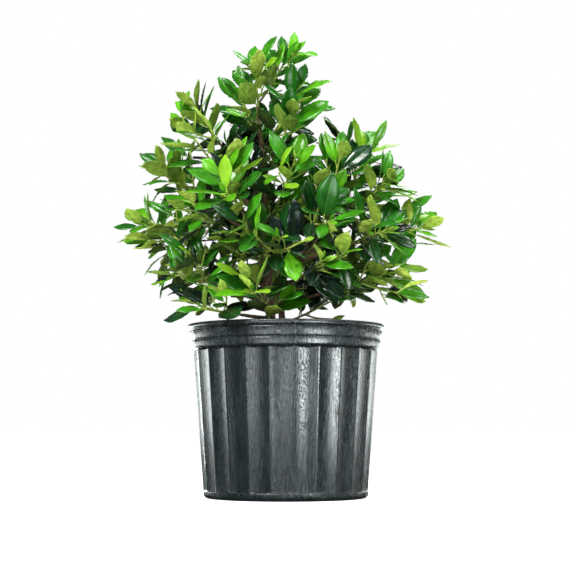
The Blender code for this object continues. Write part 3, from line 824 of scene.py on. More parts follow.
def tube_tree(path, radii, sides):
    """The faces of a closed tapering tube: a curve whose bevel is a ring of straight sides."""
    turns = [tau * i / sides for i in range(sides)]
    ring_data, ring = straight_curve("ring", "2D", [(cos(turn), sin(turn), 0) for turn in turns])
    ring.use_cyclic_u = True
    data, spline = straight_curve("tube", "3D", path)
    for point, radius in zip(spline.points, radii):
        point.radius = radius
    bevel, tube = put("ring", ring_data), put("tube", data)
    data.bevel_mode = "OBJECT"
    data.bevel_object = bevel
    data.use_fill_caps = True
    mesh = bpy.data.meshes.new_from_object(tube.evaluated_get(bpy.context.evaluated_depsgraph_get()))
    tree = mesh_tree(mesh, weld=True)
    bpy.data.meshes.remove(mesh)
    for thing in (tube, bevel):
        bpy.data.objects.remove(thing, do_unlink=True)
    return tree


def shoot_tree(path, margin=0.0):
    base = SHOOT_BASE if len(path) > SIDE_STEPS + 1 else SIDE_BASE
    return tube_tree(path, tapered(base + margin, SHOOT_TIP + margin, len(path) - 1), SHOOT_SIDES)


def leaf_corners(leaf, grow=0.0):
    """The eight corners of a leaf's slim body; grow makes it that much larger all round."""
    side = leaf.axis.cross(leaf.face)
    bend = radians(leaf.bend)
    length = leaf.length + grow

    def midrib(share):
        along = length * sin(bend * share) / bend
        drop = length * (1 - cos(bend * share)) / bend
        return leaf.base + leaf.axis * along - leaf.face * drop

    def edge(share, width, hand):
        out = leaf.length * leaf.slimness / 2 * width + grow
        return midrib(share) + side * (out * hand) + leaf.face * (out * tan(radians(leaf.fold)))

    return {
        "tip": midrib(1),
        "left far": edge(*LEAF_FAR, -1),
        "left near": edge(*LEAF_NEAR, -1),
        "base": leaf.base - leaf.axis * LEAF_SUNK,
        "right near": edge(*LEAF_NEAR, 1),
        "right far": edge(*LEAF_FAR, 1),
        "top": midrib(LEAF_TOP) + leaf.face * grow,
        "under": midrib(LEAF_KEEL) - leaf.face * (LEAF_THICKNESS + grow),
    }


def leaf_tree(leaf, grow=0.0):
    faces = [face for i in range(6) for face in ((i, (i + 1) % 6, 6), ((i + 1) % 6, i, 7))]
    return BVHTree.FromPolygons(list(leaf_corners(leaf, grow).values()), faces)


class Crown:
    """Everything in place so far, so that nothing new touches it."""

    def __init__(self):
        self.placed = []
        self.axes = {}

    def add(self, owner, kind, tree):
        self.placed.append((owner, kind, tree))

    def is_clear(self, tree, *ignored):
        """Whether the tree meets nothing, apart from the ignored (owner, kind) pairs."""
        return not any(tree.overlap(other) for *owner, other in self.placed if tuple(owner) not in ignored)

    def is_own_space(self, name, spot):
        """Whether the spot is about nearer to its own spray's shoot than to any other's."""
        own = away(spot, self.axes[name]) - SPACE_SHARED
        return all(away(spot, axis) >= own for other, axis in self.axes.items() if other != name)


# %% The rule of growth
def grow_limbs(crown, spray, stem_path):
    """The bough's path, or None, and the shoot's, from the stem to the spray's end."""
    end = Vector((spray.right, spray.back, spray.up)) * MM
    for shift in FOOT_SHIFTS:
        foot = at_height(stem_path, spray.foot * MM + shift)
        on_tip = spray.foot * MM >= stem_path[-1].z
        span = end - foot
        knee = foot + Vector((span.x * SPREAD_FIRST, span.y * SPREAD_FIRST, span.z * RISE_FIRST))
        if on_tip:
            foot = stem_path[-1]
            knee = foot + (foot - stem_path[-2]).normalized() * span.length / 2
        share = BOUGH_SHARE if span.length > BOUGH_REACH else 0.0
        gap = CLEAR / span.length if share or on_tip else 0.0
        shoot = bend_path(foot, knee, end, share + gap, 1, SHOOT_STEPS)
        bough = bend_path(foot, knee, end, 0, share, BOUGH_STEPS) if share else None
        whole = bend_path(foot, knee, end, 0, 1, BOUGH_STEPS)
        thick = BOUGH_BASE + BOUGH_GAIN * span.length
        guard = tube_tree(whole, tapered(thick, SHOOT_TIP, BOUGH_STEPS), BOUGH_SIDES)
        if crown.is_clear(guard, (spray.stem.name, "stem")):
            break
    return bough, shoot


def grow_side_shoots(crown, rng, spray, path):
    """Side shoots leave the shoot on alternate sides and turn up a little."""
    shoots = []
    turn = rng.uniform(0, tau)
    for i in range(spray.side_shoots):
        share = SIDE_FIRST + SIDE_SPAN * (i + 1) / (spray.side_shoots + 1)
        turn += SIDE_TURN
        for trial in range(TRIES):
            length = rng.uniform(*SIDE_LENGTH)
            nudge = rng.uniform(-NUDGE, NUDGE) * trial
            side = side_path(path, share, length, SIDE_ANGLE, turn + nudge)
            guard = shoot_tree(side, SHOOT_MARGIN)
            if crown.is_clear(guard, (spray.name, "shoot")) and crown.is_own_space(spray.name, side[-1]):
                shoots.append(side)
                break
    return shoots


def try_leaf(rng, path, share, turn, young):
    """One leaf: where it starts, which way it points and which way its upper side looks."""
    base, tangent = spot_on(path, share)
    angle = LOW_LEAF_ANGLE + (TOP_LEAF_ANGLE - LOW_LEAF_ANGLE) * share
    angle = radians(angle + rng.uniform(-ANGLE_SCATTER, ANGLE_SCATTER))
    axis = (leaning(tangent, turn, angle) + UP * LEAF_RISE).normalized()
    outwards = (base - LOOK_FROM) * Vector((1, 1, 0))
    look = UP * LOOK_UP + outwards.normalized() * LOOK_OUT
    look += Vector([rng.uniform(-LOOK_SCATTER, LOOK_SCATTER) for _ in range(3)])
    length = rng.uniform(*LEAF_LENGTH) * (rng.uniform(*YOUNG_SHARE) if young else 1)
    return Leaf(base, axis, squared(look, axis), length,
                *[rng.uniform(*limits) for limits in (LEAF_SLIMNESS, LEAF_BEND, LEAF_FOLD)])


def has_room(crown, spray, leaf, *own):
    """Whether the leaf keeps above the skirt, in its spray's own space and clear of everything."""
    corners = leaf_corners(leaf)
    own += ((spray.name, "leaf"), (spray.name, "shoot"))
    blade = leaf._replace(base=leaf.base + leaf.axis * leaf.length * PETIOLE,
                          length=leaf.length * (1 - PETIOLE))
    return (corners["tip"].z >= min(SKIRT, spray.up * MM - DROOP)
            and crown.is_own_space(spray.name, (corners["top"] + corners["tip"]) / 2)
            and crown.is_clear(leaf_tree(leaf, LEAF_MARGIN), *own)
            and crown.is_clear(leaf_tree(blade)))


def grow_leaves(crown, rng, spray, path):
    """Leaves in a spiral up one shoot, with the share of the shoot's length at which each one starts."""
    count = max(LEAST_LEAVES, round(path_length(path) / LEAF_SPACING))
    turn = rng.uniform(0, tau)
    leaves = []
    for i in range(count):
        back = (count - 1 - i) / (count - 1)
        share = LAST_LEAF - (LAST_LEAF - FIRST_LEAF) * back ** CROWDING
        turn += GOLDEN_TURN
        for trial in range(TRIES):
            nudge = rng.uniform(-NUDGE, NUDGE) * trial
            leaf = try_leaf(rng, path, share, turn + nudge, i >= count - YOUNG_LEAVES)
            if has_room(crown, spray, leaf):
                crown.add(spray.name, "leaf", leaf_tree(leaf))
                leaves.append((leaf, share))
                break
    return leaves


# %% Growing the plant
crown = Crown()
stem_lines = {stem.name: stem_line(stem) for stem in (MAIN, RIGHT)}
for name in ("nursery_pot", "potting_soil", *stem_lines):
    crown.add(name, "stem" if name in stem_lines else "pot", mesh_tree(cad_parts[name].data))

grown = {}
for spray in SPRAYS:
    bough, shoot = grow_limbs(crown, spray, stem_lines[spray.stem.name][0])
    grown[spray.name] = Grown(spray, bough, [shoot], [])
    crown.axes[spray.name] = shoot[1:]
    if bough:
        girths = tapered(bough_girth(bough), SHOOT_BASE, BOUGH_STEPS)
        crown.add(spray.name, "bough", tube_tree(bough, girths, BOUGH_SIDES))
    crown.add(spray.name, "shoot", shoot_tree(shoot))

generators = {spray.name: random.Random(f"{SEED} {spray.name}") for spray in SPRAYS}
for name, part in grown.items():
    for side in grow_side_shoots(crown, generators[name], part.spray, part.shoots[0]):
        crown.add(name, "shoot", shoot_tree(side))
        part.shoots.append(side)
for name, part in grown.items():
    for path in part.shoots:
        part.leaves.extend(grow_leaves(crown, generators[name], part.spray, path))
print(sum(len(part.leaves) for part in grown.values()), "leaves where the solids have theirs")

# %% [markdown]
# The solids stop at the size of leaf that a coarse model can afford. The living plant goes a step finer:
# short twigs with smaller leaves stand between the long ones, and also on the outer part of each bough
# and high on the stems. They grow by the same rule, within the box of their own spray's solid, or of the
# whole plant where they stand on a stem, and a twig that finds room for fewer than two leaves isn't kept.
# So the crown fills up, and the gaps between the sprays stay open.

# %% Finer twigs
TWIG_LENGTH = (14 * MM, 34 * MM)
TWIG_RADII = (1.15 * MM, 0.9 * MM)
TWIG_ANGLE = 52.0
TWIG_SPACING = 8 * MM
TWIG_TURNS = 6
TWIG_LEAVES = 6
LEAST_ON_TWIG = 2
SMALL_LEAF = (0.55, 0.9)
BOUGH_BARE = 0.35
BOX_MARGIN = 5 * MM
STEM_BARE = (0.3, 0.42)
TWIG_SHARES = [0.35 + 0.63 * i / (TWIG_LEAVES - 1) for i in range(TWIG_LEAVES)]
LAST_TWIG = 0.95
Twig = namedtuple("Twig", "path leaves")


def is_inside(points, box):
    return all(low - BOX_MARGIN <= value <= high + BOX_MARGIN
               for point in points for low, value, high in zip(box[0], point, box[1]))


def grow_twig(crown, rng, spray, limb, path, share, turn, box):
    """A twig at that share of its limb's path, or None where it, or too many of its leaves, would touch."""
    line = side_path(path, share, rng.uniform(*TWIG_LENGTH), TWIG_ANGLE, turn)
    guard = tube_tree(line, tapered(*TWIG_RADII, SIDE_STEPS), SHOOT_SIDES)
    if line[-1].z < SKIRT or not is_inside(line[-1:], box) or not crown.is_clear(guard, limb):
        return None
    leaves, trees = [], []
    leaf_turn = rng.uniform(0, tau)
    for leaf_share in TWIG_SHARES:
        leaf_turn += GOLDEN_TURN
        leaf = try_leaf(rng, line, leaf_share, leaf_turn, False)
        leaf = leaf._replace(length=leaf.length * rng.uniform(*SMALL_LEAF))
        tree = leaf_tree(leaf)
        inside = is_inside(leaf_corners(leaf).values(), box)
        if inside and not any(map(tree.overlap, trees[:-1])) and has_room(crown, spray, leaf, limb):
            leaves.append((leaf, leaf_share))
            trees.append(tree)
    if len(leaves) < LEAST_ON_TWIG:
        return None
    crown.add(spray.name, "twig", guard)
    for tree in trees:
        crown.add(spray.name, "leaf", tree)
    return Twig(line, leaves)


def grow_twigs(crown, rng, spray_at, limb, path, first, box):
    """Twigs all along a limb from its share first on, each in the space of the spray that spray_at names."""
    steps = round(path_length(path) * (1 - first) / TWIG_SPACING)
    turn = rng.uniform(0, tau)
    for i in range(steps):
        share = first + (LAST_TWIG - first) * i / steps
        spray = spray_at(spot_on(path, share)[0])
        for _ in range(TWIG_TURNS):
            turn += GOLDEN_TURN
            twig = grow_twig(crown, rng, spray, limb, path, share, turn, box)
            if twig:
                twigs[spray.name].append(twig)
                break


def nearest_spray(spot):
    return grown[min(crown.axes, key=lambda name: away(spot, crown.axes[name]))].spray


twigs = {name: [] for name in grown}
for name, part in grown.items():
    rng = random.Random(f"{SEED} {name} twigs")
    limbs = [("shoot", path, FIRST_LEAF) for path in part.shoots]
    if part.bough:
        limbs.append(("bough", part.bough, BOUGH_BARE))
    for kind, path, first in limbs:
        grow_twigs(crown, rng, lambda spot: part.spray, (name, kind), path, first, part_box("foliage_" + name))
for (name, (path, radii)), first in zip(stem_lines.items(), STEM_BARE):
    rng = random.Random(f"{SEED} {name} twigs")
    grow_twigs(crown, rng, nearest_spray, (name, "stem"), path, first, CAD_BOX)
more = [len(twig.leaves) for some in twigs.values() for twig in some]
print(len(more), "twigs with", sum(more), "more leaves")

# %% [markdown]
# Stems and boughs are tubes again, but now with bark. Every ring of points is pushed in and out by a
# noise that is stretched along the limb, which gives the shallow lengthways furrows of young holly bark,
# and swells a little at each old leaf scar. A bough starts on the stem's own centre line and spreads into
# it with a collar, as a real branch does, so that no gap shows.

# %% A limb's skin
def along(path, spacing):
    """The path as a smooth curve with about that distance between points."""
    return smooth_path(path, max(2, round(path_length(path) / spacing)))


def limb_skin(path, radii, sides, relief, old=1):
    """
    A closed skin of rings round the path; relief(distance, turn) is how far each point stands out.
    It takes the piece's first finish up to the old share of its length, and the second beyond.
    """
    points = []
    side = crossways((path[1] - path[0]).normalized(), 0)
    distance = 0
    for i, (spot, radius) in enumerate(zip(path, radii)):
        tangent = (path[min(i + 1, len(path) - 1)] - path[max(i - 1, 0)]).normalized()
        side = squared(side, tangent)
        across = tangent.cross(side)
        for j in range(sides):
            turn = tau * j / sides
            reach = radius + relief(distance, turn)
            points.append(spot + side * (reach * cos(turn)) + across * (reach * sin(turn)))
        distance += (path[min(i + 1, len(path) - 1)] - spot).length
    points += [path[0], path[-1] + (path[-1] - path[-2]).normalized() * radii[-1] * 0.5]
    faces = capped_faces(len(path), sides)
    return Skin(np.array(points), faces, [int(face[0] // sides / len(path) >= old) for face in faces])


def leaf_scar(height, distance, turn, spacing, span, phase):
    """How much the scar of an old leaf stands out there: the scars climb the limb in a spiral."""
    number = round(distance / spacing)
    near = (distance - number * spacing) / span
    facing = max(0, cos(turn - number * GOLDEN_TURN - phase))
    return height * exp(-near * near) * facing


# %% Bark on the stems and boughs
BARK_SPACING = 1.6 * MM
STEM_SKIN_SIDES = 26
BOUGH_SKIN_SIDES = 16
FURROW = 0.34 * MM
ROUND_GRAIN, LENGTH_GRAIN = 1.6, 0.085
SCAR = 0.35 * MM
SCAR_SPACING = 19 * MM
SCAR_SPAN = 2.2 * MM
COLLAR = 1.6 * MM
COLLAR_SPAN = 9 * MM
ROOTED = 9 * MM
BARK_GAIN = 1.14
FULL_BARK = 3 * MM
BOUGH_TIP = SHOOT_BASE * 0.92


def bark_relief(phase, radius):
    """Furrows that run along the limb, and its leaf scars, all of them shallower on a thin limb."""
    def relief(distance, turn):
        x, y = cos(turn) * ROUND_GRAIN, sin(turn) * ROUND_GRAIN
        spot = Vector((x, y, distance / MM * LENGTH_GRAIN + phase))
        furrow = noise.fractal(spot * 1.7, 0.9, 2.1, 3) * FURROW
        lump = noise.noise(spot * 0.6) * FURROW
        scar = leaf_scar(SCAR, distance, turn, SCAR_SPACING, SCAR_SPAN, phase)
        return (furrow + lump + scar) * min(1, radius / FULL_BARK)
    return relief


bark_finish = Finish("young_bark", (0.17, 0.11, 0.07), 0.8, Specular_IOR_Level=0.3)
bark_flecks = bark_finish.grain(420, (1, 1, 0.3), detail=5)
bark_patches = bark_finish.grain(45, detail=3)
brown = bark_finish.ramp(
    bark_flecks, (0.3, (0.06, 0.034, 0.018)), (0.5, (0.22, 0.14, 0.08)), (0.72, (0.42, 0.31, 0.2)))
green = bark_finish.ramp(bark_flecks, (0.3, (0.05, 0.04, 0.02)), (0.6, (0.19, 0.165, 0.075)))
bark_finish.feed("Base Color", bark_finish.mix(bark_finish.level(bark_patches, 0.45, 0.65), brown, green))
bark_finish.relief(bark_finish.grain(1100, (1, 1, 0.35), detail=4), 0.0003)

bark = Piece("bark_of_stems_and_boughs", bark_finish)
for phase, stem in enumerate((MAIN, RIGHT)):
    path, radii = stem_lines[stem.name]
    line = along([path[0] - UP * ROOTED] + path, BARK_SPACING)
    shares = np.linspace(0, 1, len(radii) + 1)
    girths = np.interp(np.linspace(0, 1, len(line)), shares, [radii[0], *radii]) * BARK_GAIN
    bark.skins.append(limb_skin(line, girths, STEM_SKIN_SIDES, bark_relief(phase * 40, stem.base)))
for phase, part in enumerate(grown.values()):
    if part.bough:
        line = along(part.bough, BARK_SPACING)
        thick = bough_girth(part.bough)
        path, radii = stem_lines[part.spray.stem.name]
        inside = np.interp(part.bough[0].z, [spot.z for spot in path], radii)
        girths = [girth + COLLAR * exp(-(max(i * BARK_SPACING - inside, 0) / COLLAR_SPAN) ** 1.3)
                  for i, girth in enumerate(tapered(thick, BOUGH_TIP, len(line) - 1))]
        bark.skins.append(limb_skin(line, girths, BOUGH_SKIN_SIDES, bark_relief(100 + 7 * phase, thick)))
limb_nodes = [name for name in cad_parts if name.endswith("_stem") or name.startswith("bough_")]
bark.build("bark", *limb_nodes)

# %% [markdown]
# Shoots are this year's wood: smooth, and yellow-green at the tip, turning olive brown where they leave
# the bough. That change has a place, so it is dealt out as two plain colours by ring. Each shoot ends in
# a small pointed bud.

# %% Shoots, twigs and buds
SHOOT_SKIN_SIDES = 9
TWIG_SKIN_SIDES = 7
SHOOT_SPACING = 3 * MM
SHOOT_LUMP = 0.22 * MM
LUMP_SPAN = 1.6 * MM
SHOOT_ROOT = 2 * MM
OLD_SHARE = 0.3
SHOOT_SLIM = 0.84
BUD_LENGTH = 4.5 * MM
BUD_RADIUS = 1.3 * MM
BUD_SHARES = (0, 0.12, 0.35, 0.6, 0.82, 0.95)

old_shoot = Finish("olive_brown_shoot", (0.11, 0.1, 0.035), 0.6, Specular_IOR_Level=0.3)
old_shoot.tint(old_shoot.grain(260, detail=3), (0.3, (0.06, 0.045, 0.02)), (0.7, (0.17, 0.16, 0.05)))
young_shoot = Finish("yellow_green_shoot", (0.3, 0.42, 0.07), 0.42, Specular_IOR_Level=0.3)
young_shoot.tint(young_shoot.grain(60, detail=2), (0.3, (0.22, 0.36, 0.05)), (0.7, (0.42, 0.52, 0.1)))
shoots = Piece("shoots_and_twigs", old_shoot, young_shoot)
buds = Piece("buds", young_shoot)


def bud_skin(path):
    """A pointed bud that carries on from the end of the path."""
    way = (path[-1] - path[-2]).normalized()
    line = [path[-1] + way * BUD_LENGTH * (share - 0.1) for share in BUD_SHARES]
    radii = [BUD_RADIUS * (0.75 + share) * (1 - share ** 1.6) for share in BUD_SHARES]
    return limb_skin(line, radii, TWIG_SKIN_SIDES, lambda distance, turn: 0)


def add_shoot(path, base, tip, sides, phase, old=0):
    """A shoot or a twig, brown up to its old share, with the lumps that the leaves stand on and its bud."""
    def lump(distance, turn):
        return leaf_scar(SHOOT_LUMP, distance, turn, LEAF_SPACING, LUMP_SPAN, phase)
    line = along(path, SHOOT_SPACING)
    shoots.skins.append(limb_skin(line, tapered(base, tip, len(line) - 1), sides, lump, old))
    buds.skins.append(bud_skin(path))


foliage_nodes = [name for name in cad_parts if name.startswith("foliage_")]
for phase, (name, part) in enumerate(grown.items()):
    for number, path in enumerate(part.shoots):
        if number == 0 and part.bough:
            path = [part.bough[-1] - (part.bough[-1] - part.bough[-2]).normalized() * SHOOT_ROOT] + path[1:]
        base, old = (SIDE_BASE, 0) if number else (SHOOT_BASE, OLD_SHARE)
        add_shoot(path, base * SHOOT_SLIM, SHOOT_TIP * SHOOT_SLIM, SHOOT_SKIN_SIDES, phase + number, old)
    for twig in twigs[name]:
        add_shoot(twig.path, *TWIG_RADII, TWIG_SKIN_SIDES, phase)
shoots.build("foliage", *foliage_nodes)
buds.build("foliage", *foliage_nodes)

# %% [markdown]
# A holly leaf is stiff and glossy. From the midrib about six pairs of veins run out and forwards to the
# margin, and the blade is quilted between them. So the rows of the leaf's mesh lie along the veins: every
# other row is sunk, and no pattern has to be painted. The outline is widest just past the middle and ends
# in a short spine, and many leaves have a few small teeth where the last veins meet the margin. A leaf
# has four finishes: its upper side, its underside, the midrib on top with the margin, and the stalk with
# the pale keel that it runs on in below.

# %% The leaf's grid
LEAF_ROWS = 13
ACROSS = np.array([-1, -0.7, -0.38, -0.035, 0.035, 0.38, 0.7, 1])
VEIN_SWEEP = 0.13
BLADE_THICKNESS = 0.45 * MM
QUILT = 0.55 * MM
RIB_SUNK = 0.35 * MM
RIB_KEEL = 0.6 * MM
SPINE = 1.6 * MM
STALK_RINGS = 5
STALK_SIDES = 6
STALK_RADII = (0.95 * MM, 0.7 * MM)
UPPER, UNDER, VEIN, STALK = 0, 1, 2, 3
OUTLINE_ALONG = [0, 0.08, 0.2, 0.35, 0.5, 0.65, 0.8, 0.9, 0.96, 1]
OUTLINE_WIDTH = [0.05, 0.3, 0.62, 0.88, 1, 0.96, 0.77, 0.5, 0.27, 0.05]


def leaf_topology():
    """Faces and slots of a leaf: upper grid, lower grid, the margin that closes them, and the stalk."""
    columns = len(ACROSS)
    half = LEAF_ROWS * columns
    last = half - columns
    faces, slots = [], []
    for row in range(0, last, columns):
        for j in range(columns - 1):
            a, b, c, d = row + j, row + j + 1, row + j + 1 + columns, row + j + columns
            rib = j == columns // 2 - 1
            faces += [(a, b, c, d), (half + c, half + b, half + a, half + d)]
            slots += [VEIN if rib else UPPER, STALK if rib else UNDER]
    margin = [*range(0, last, columns), *range(last, half - 1), *range(half - 1, columns - 1, -columns),
              *range(columns - 1, 0, -1)]
    faces += [(a, b, half + b, half + a) for a, b in zip(margin, margin[1:] + margin[:1])]
    slots += [VEIN] * len(margin)
    stalk = capped_faces(STALK_RINGS, STALK_SIDES)
    faces += [tuple(corner + 2 * half for corner in face) for face in stalk]
    slots += [STALK] * len(stalk)
    return faces, slots


LEAF_FACES, LEAF_SLOTS = leaf_topology()
ROW_SHARES = np.linspace(0, 1, LEAF_ROWS)[:, None]
GRID_ACROSS = np.repeat(ACROSS[None, :], LEAF_ROWS, axis=0)
FROM_RIB = np.abs(GRID_ACROSS)
GRID_ALONG = ROW_SHARES + VEIN_SWEEP * FROM_RIB * np.sin(np.pi * ROW_SHARES)
SUNK_ROWS = np.where(np.arange(LEAF_ROWS) % 2 == 1, -1.0, 1.0)[:, None]
print(len(LEAF_FACES), "faces in a leaf")

# %% The leaf's skin
TOOTH = (0.5 * MM, 1.4 * MM)
TOOTHED_SHARE = 0.4
TWIST = 14.0
SWAY = 0.05
CURL = (-0.07, 0.06)
BROADEST = (0.85, 1.2)
WAVE = 0.07
WAVES = 15
RECURVED = 0.2
TEETH_GROW = 1.6
TOOTHED_FROM = 0.45
LEAST_WIDTH = 0.25 * MM
FULL_QUILT = 8 * MM
FULL_RIB = 6 * MM
STALK_SPAN = (-0.01, PETIOLE + 0.06)
STALK_SUNK = 0.25 * MM


def rows_of(vector):
    return np.array(vector)[None, None, :]


def leaf_skin(leaf, rng):
    """The leaf's real shape on its solid's midrib, with its own twist, sway, curl, waves and teeth."""
    axis, face = rows_of(leaf.axis), rows_of(leaf.face)
    side = rows_of(leaf.axis.cross(leaf.face))
    bend = radians(leaf.bend)
    twist = radians(rng.uniform(-TWIST, TWIST))
    sway = rng.uniform(-SWAY, SWAY)
    curl = rng.uniform(*CURL)
    wave = rng.uniform(0.2, 1) * WAVE
    wave_start = rng.uniform(0, tau)
    broadest = rng.uniform(*BROADEST)
    tooth = rng.uniform(*TOOTH) if rng.random() < TOOTHED_SHARE else 0

    def spine_at(share):
        """Midrib point, side and upper direction at shares of the leaf's length."""
        turn = bend * share
        past = np.clip((share - PETIOLE) / (1 - PETIOLE), 0, 1)
        drop = leaf.length * ((1 - np.cos(turn)) / bend + curl * past ** 3)
        spot = rows_of(leaf.base) + axis * (leaf.length * np.sin(turn) / bend) - face * drop
        spot = spot + side * (leaf.length * sway * past ** 2)
        upper = face * np.cos(turn) + axis * np.sin(turn)
        roll = twist * past
        return spot, side * np.cos(roll) + upper * np.sin(roll), upper * np.cos(roll) - side * np.sin(roll)

    spots, sides, uppers = spine_at(PETIOLE + (1 - PETIOLE) * GRID_ALONG[:, :, None])
    swell = np.interp(GRID_ALONG ** broadest, OUTLINE_ALONG, OUTLINE_WIDTH)
    half_width = np.maximum(leaf.length * leaf.slimness / 2 * swell, LEAST_WIDTH)
    teeth = np.where((SUNK_ROWS < 0) & (GRID_ALONG > TOOTHED_FROM) & (FROM_RIB == 1), tooth, 0)
    out = GRID_ACROSS * half_width + np.sign(GRID_ACROSS) * teeth * np.minimum(swell * TEETH_GROW, 1)
    lift = half_width * (tan(radians(leaf.fold)) * FROM_RIB - RECURVED * FROM_RIB ** 3)
    lift += half_width * wave * GRID_ACROSS ** 2 * np.sin(GRID_ALONG * WAVES + wave_start + GRID_ACROSS)
    inner = (1 - FROM_RIB ** 3) * np.minimum(FROM_RIB / ACROSS[5], 1)
    lift += QUILT * SUNK_ROWS * inner * np.minimum(half_width / FULL_QUILT, 1)
    on_rib = FROM_RIB == ACROSS[4]
    deep = np.minimum(half_width / FULL_RIB, 1)
    tip = np.where(np.arange(LEAF_ROWS)[:, None] == LEAF_ROWS - 1, SPINE, 0)
    middle = spots + sides * out[:, :, None] + axis * tip[:, :, None]
    top = middle + uppers * (lift + BLADE_THICKNESS / 2 - on_rib * RIB_SUNK * deep)[:, :, None]
    under = middle + uppers * (lift - BLADE_THICKNESS / 2 - on_rib * RIB_KEEL * deep)[:, :, None]

    ring, across, upper = spine_at(np.linspace(*STALK_SPAN, STALK_RINGS)[:, None, None])
    turns = (np.arange(STALK_SIDES) * tau / STALK_SIDES)[None, :, None]
    radii = np.linspace(*STALK_RADII, STALK_RINGS)[:, None, None]
    stalk = ring + across * radii * np.cos(turns) - upper * radii * np.sin(turns) - upper * STALK_SUNK
    points = np.concatenate([part.reshape(-1, 3) for part in (top, under, stalk, ring[0], ring[-1])])
    return Skin(points, LEAF_FACES, LEAF_SLOTS)


# %% [markdown]
# The leaves run from near-black old ones, low on the shoots, to yellow-green ones at the shoots' ends.
# Each spray has its own tone, read off the plant, and each leaf shifts it by its place on the shoot and a
# little by chance. Leaves deep in the crown are turned darker too: that is painted shade, where the crown
# shades itself. Six tones are enough to look continuous. The leaves of a tone go into meshes of at most
# 300 each.

# %% Tones of green
# The under colours are pale: partly the underside's own paler green, partly painted light that shines through
# the leaf from above.
Tone = namedtuple("Tone", "name limit upper under vein stalk gloss")
TONES = [Tone(*row) for row in [
    ("night", 0.15, (0.003, 0.014, 0.01), (0.07, 0.13, 0.025), (0.012, 0.035, 0.014), (0.12, 0.2, 0.05), 0.2),
    ("dark", 0.34, (0.005, 0.045, 0.008), (0.18, 0.3, 0.045), (0.024, 0.1, 0.01), (0.26, 0.42, 0.06), 0.21),
    ("mid", 0.52, (0.014, 0.12, 0.007), (0.285, 0.45, 0.06), (0.05, 0.21, 0.013), (0.37, 0.57, 0.07), 0.22),
    ("fresh", 0.7, (0.036, 0.225, 0.006), (0.385, 0.57, 0.075), (0.1, 0.33, 0.02), (0.47, 0.67, 0.09), 0.23),
    ("bright", 0.88, (0.09, 0.35, 0.007), (0.48, 0.66, 0.1), (0.18, 0.44, 0.024), (0.55, 0.75, 0.12), 0.25),
    ("young", 9.0, (0.2, 0.44, 0.015), (0.53, 0.7, 0.12), (0.32, 0.56, 0.04), (0.58, 0.78, 0.14), 0.3),
]]
BLOTCH = (0.72, 1.3)

# Each part's roughness, specular level and blotches in a metre. Its tone says how glossy the upper side is.
LEAF_PARTS = {
    "upper": (None, 0.45, 38), "under": (0.62, 0.12, 130), "vein": (0.4, 0.3, 38), "stalk": (0.5, 0.2, 38)}
LEAVES_PER_PIECE = 300


def leaf_finishes(tone):
    """The finishes of the four parts in one tone, each with soft blotches of tint."""
    made = []
    for part, (roughness, specular, blotches) in LEAF_PARTS.items():
        colour = getattr(tone, part)
        finish = Finish(f"{tone.name}_leaf_{part}", colour, roughness or tone.gloss,
                        Specular_IOR_Level=specular)
        low, high = ([value * share for value in colour] for share in BLOTCH)
        finish.tint(finish.grain(blotches, detail=2), (0.36, low), (0.64, high))
        finish.relief(finish.grain(700, detail=2), 0.00012)
        made.append(finish)
    return made


# %% Every leaf in its tone
TONE_SCATTER = 0.16
TONE_ALONG = 0.4
# How much darker a leaf deep in the crown is made: painted shade where the crown shades itself.
PAINTED_SHADE_DEPTH = 0.6
CROWN_MIDDLE = Vector((-10, 20, 360)) * MM
CROWN_REACH = (170 * MM, 120 * MM, 220 * MM)
OLD_CHANCE = 0.12
OLD_TONE = 0.05
OLD_BELOW = 0.7
DARK_SPRAY = 0.35
EVEN_SHARE = 0.6
TUFT_LEAVES = 2
TUFT_LENGTH = (13 * MM, 24 * MM)
TUFT_ANGLE = 18.0
TUFT_LEAN = (0.6, 1.6)
TUFT_FORM = (0.34, 20, 22)
TUFT_TONE, TUFT_GAIN = 0.8, 0.3
LIFE_HEIGHTS = (300 * MM, 450 * MM, 620 * MM)
LIFE_SIZES = (0.98, 0.93, 0.84)


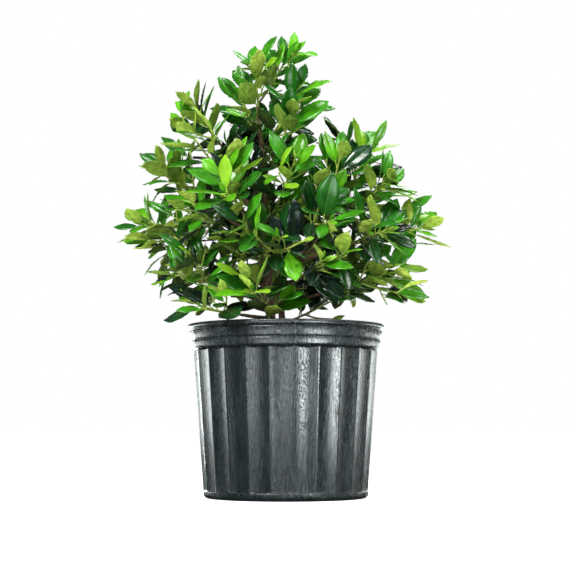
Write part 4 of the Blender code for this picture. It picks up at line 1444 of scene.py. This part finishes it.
def depth_in_crown(spot):
    """1 in the middle of the crown, 0 at its outside."""
    from_middle = zip(spot - CROWN_MIDDLE, CROWN_REACH)
    return max(0, 1 - Vector([side / reach for side, reach in from_middle]).length)


def leaf_tone(rng, spray, leaf, share):
    """The spray's tone, shifted for one leaf. A few low leaves are old, twice as many in a dark spray."""
    if share < OLD_BELOW and rng.random() < OLD_CHANCE * (2 if spray.tone < DARK_SPRAY else 1):
        return OLD_TONE
    # Leaves deep in the crown are turned darker here: painted shade, not their own colour.
    lighter = TONE_ALONG * (share - EVEN_SHARE) - PAINTED_SHADE_DEPTH * depth_in_crown(leaf.base)
    return spray.tone + lighter + rng.gauss(0, TONE_SCATTER)


def life_size(leaf):
    """The leaf in its real size: the solids' are a little large, most of all near the plant's top."""
    return leaf._replace(length=leaf.length * float(np.interp(leaf.base.z, LIFE_HEIGHTS, LIFE_SIZES)))


def tuft(rng, path):
    """The last small leaves, still standing round the bud."""
    tip, tangent = spot_on(path, 1)
    leaves = []
    turn = rng.uniform(0, tau)
    for _ in range(TUFT_LEAVES):
        turn += GOLDEN_TURN
        axis = leaning(tangent, turn, radians(rng.uniform(*TUFT_LEAN) * TUFT_ANGLE)).normalized()
        leaves.append(Leaf(tip, axis, squared(tangent, axis), rng.uniform(*TUFT_LENGTH), *TUFT_FORM))
    return leaves


skins = {tone.name: [] for tone in TONES}
for name, part in grown.items():
    rng = random.Random(f"{SEED} {name} shapes")
    leaves = part.leaves + [leaf for twig in twigs[name] for leaf in twig.leaves]
    toned = [(life_size(leaf), leaf_tone(rng, part.spray, leaf, share)) for leaf, share in leaves]
    toned += [(leaf, TUFT_TONE + TUFT_GAIN * part.spray.tone * rng.random())
              for path in part.shoots for leaf in tuft(rng, path)]
    for leaf, value in toned:
        tone = next(tone for tone in TONES if value < tone.limit)
        skins[tone.name].append(leaf_skin(leaf, rng))
for tone in TONES:
    finishes = leaf_finishes(tone)
    for first in range(0, len(skins[tone.name]), LEAVES_PER_PIECE):
        piece = Piece(f"{tone.name}_leaves_{first // LEAVES_PER_PIECE + 1}", *finishes)
        piece.skins = skins[tone.name][first:first + LEAVES_PER_PIECE]
        piece.build("foliage", *foliage_nodes)
print(sum(map(len, skins.values())), "leaves in all")
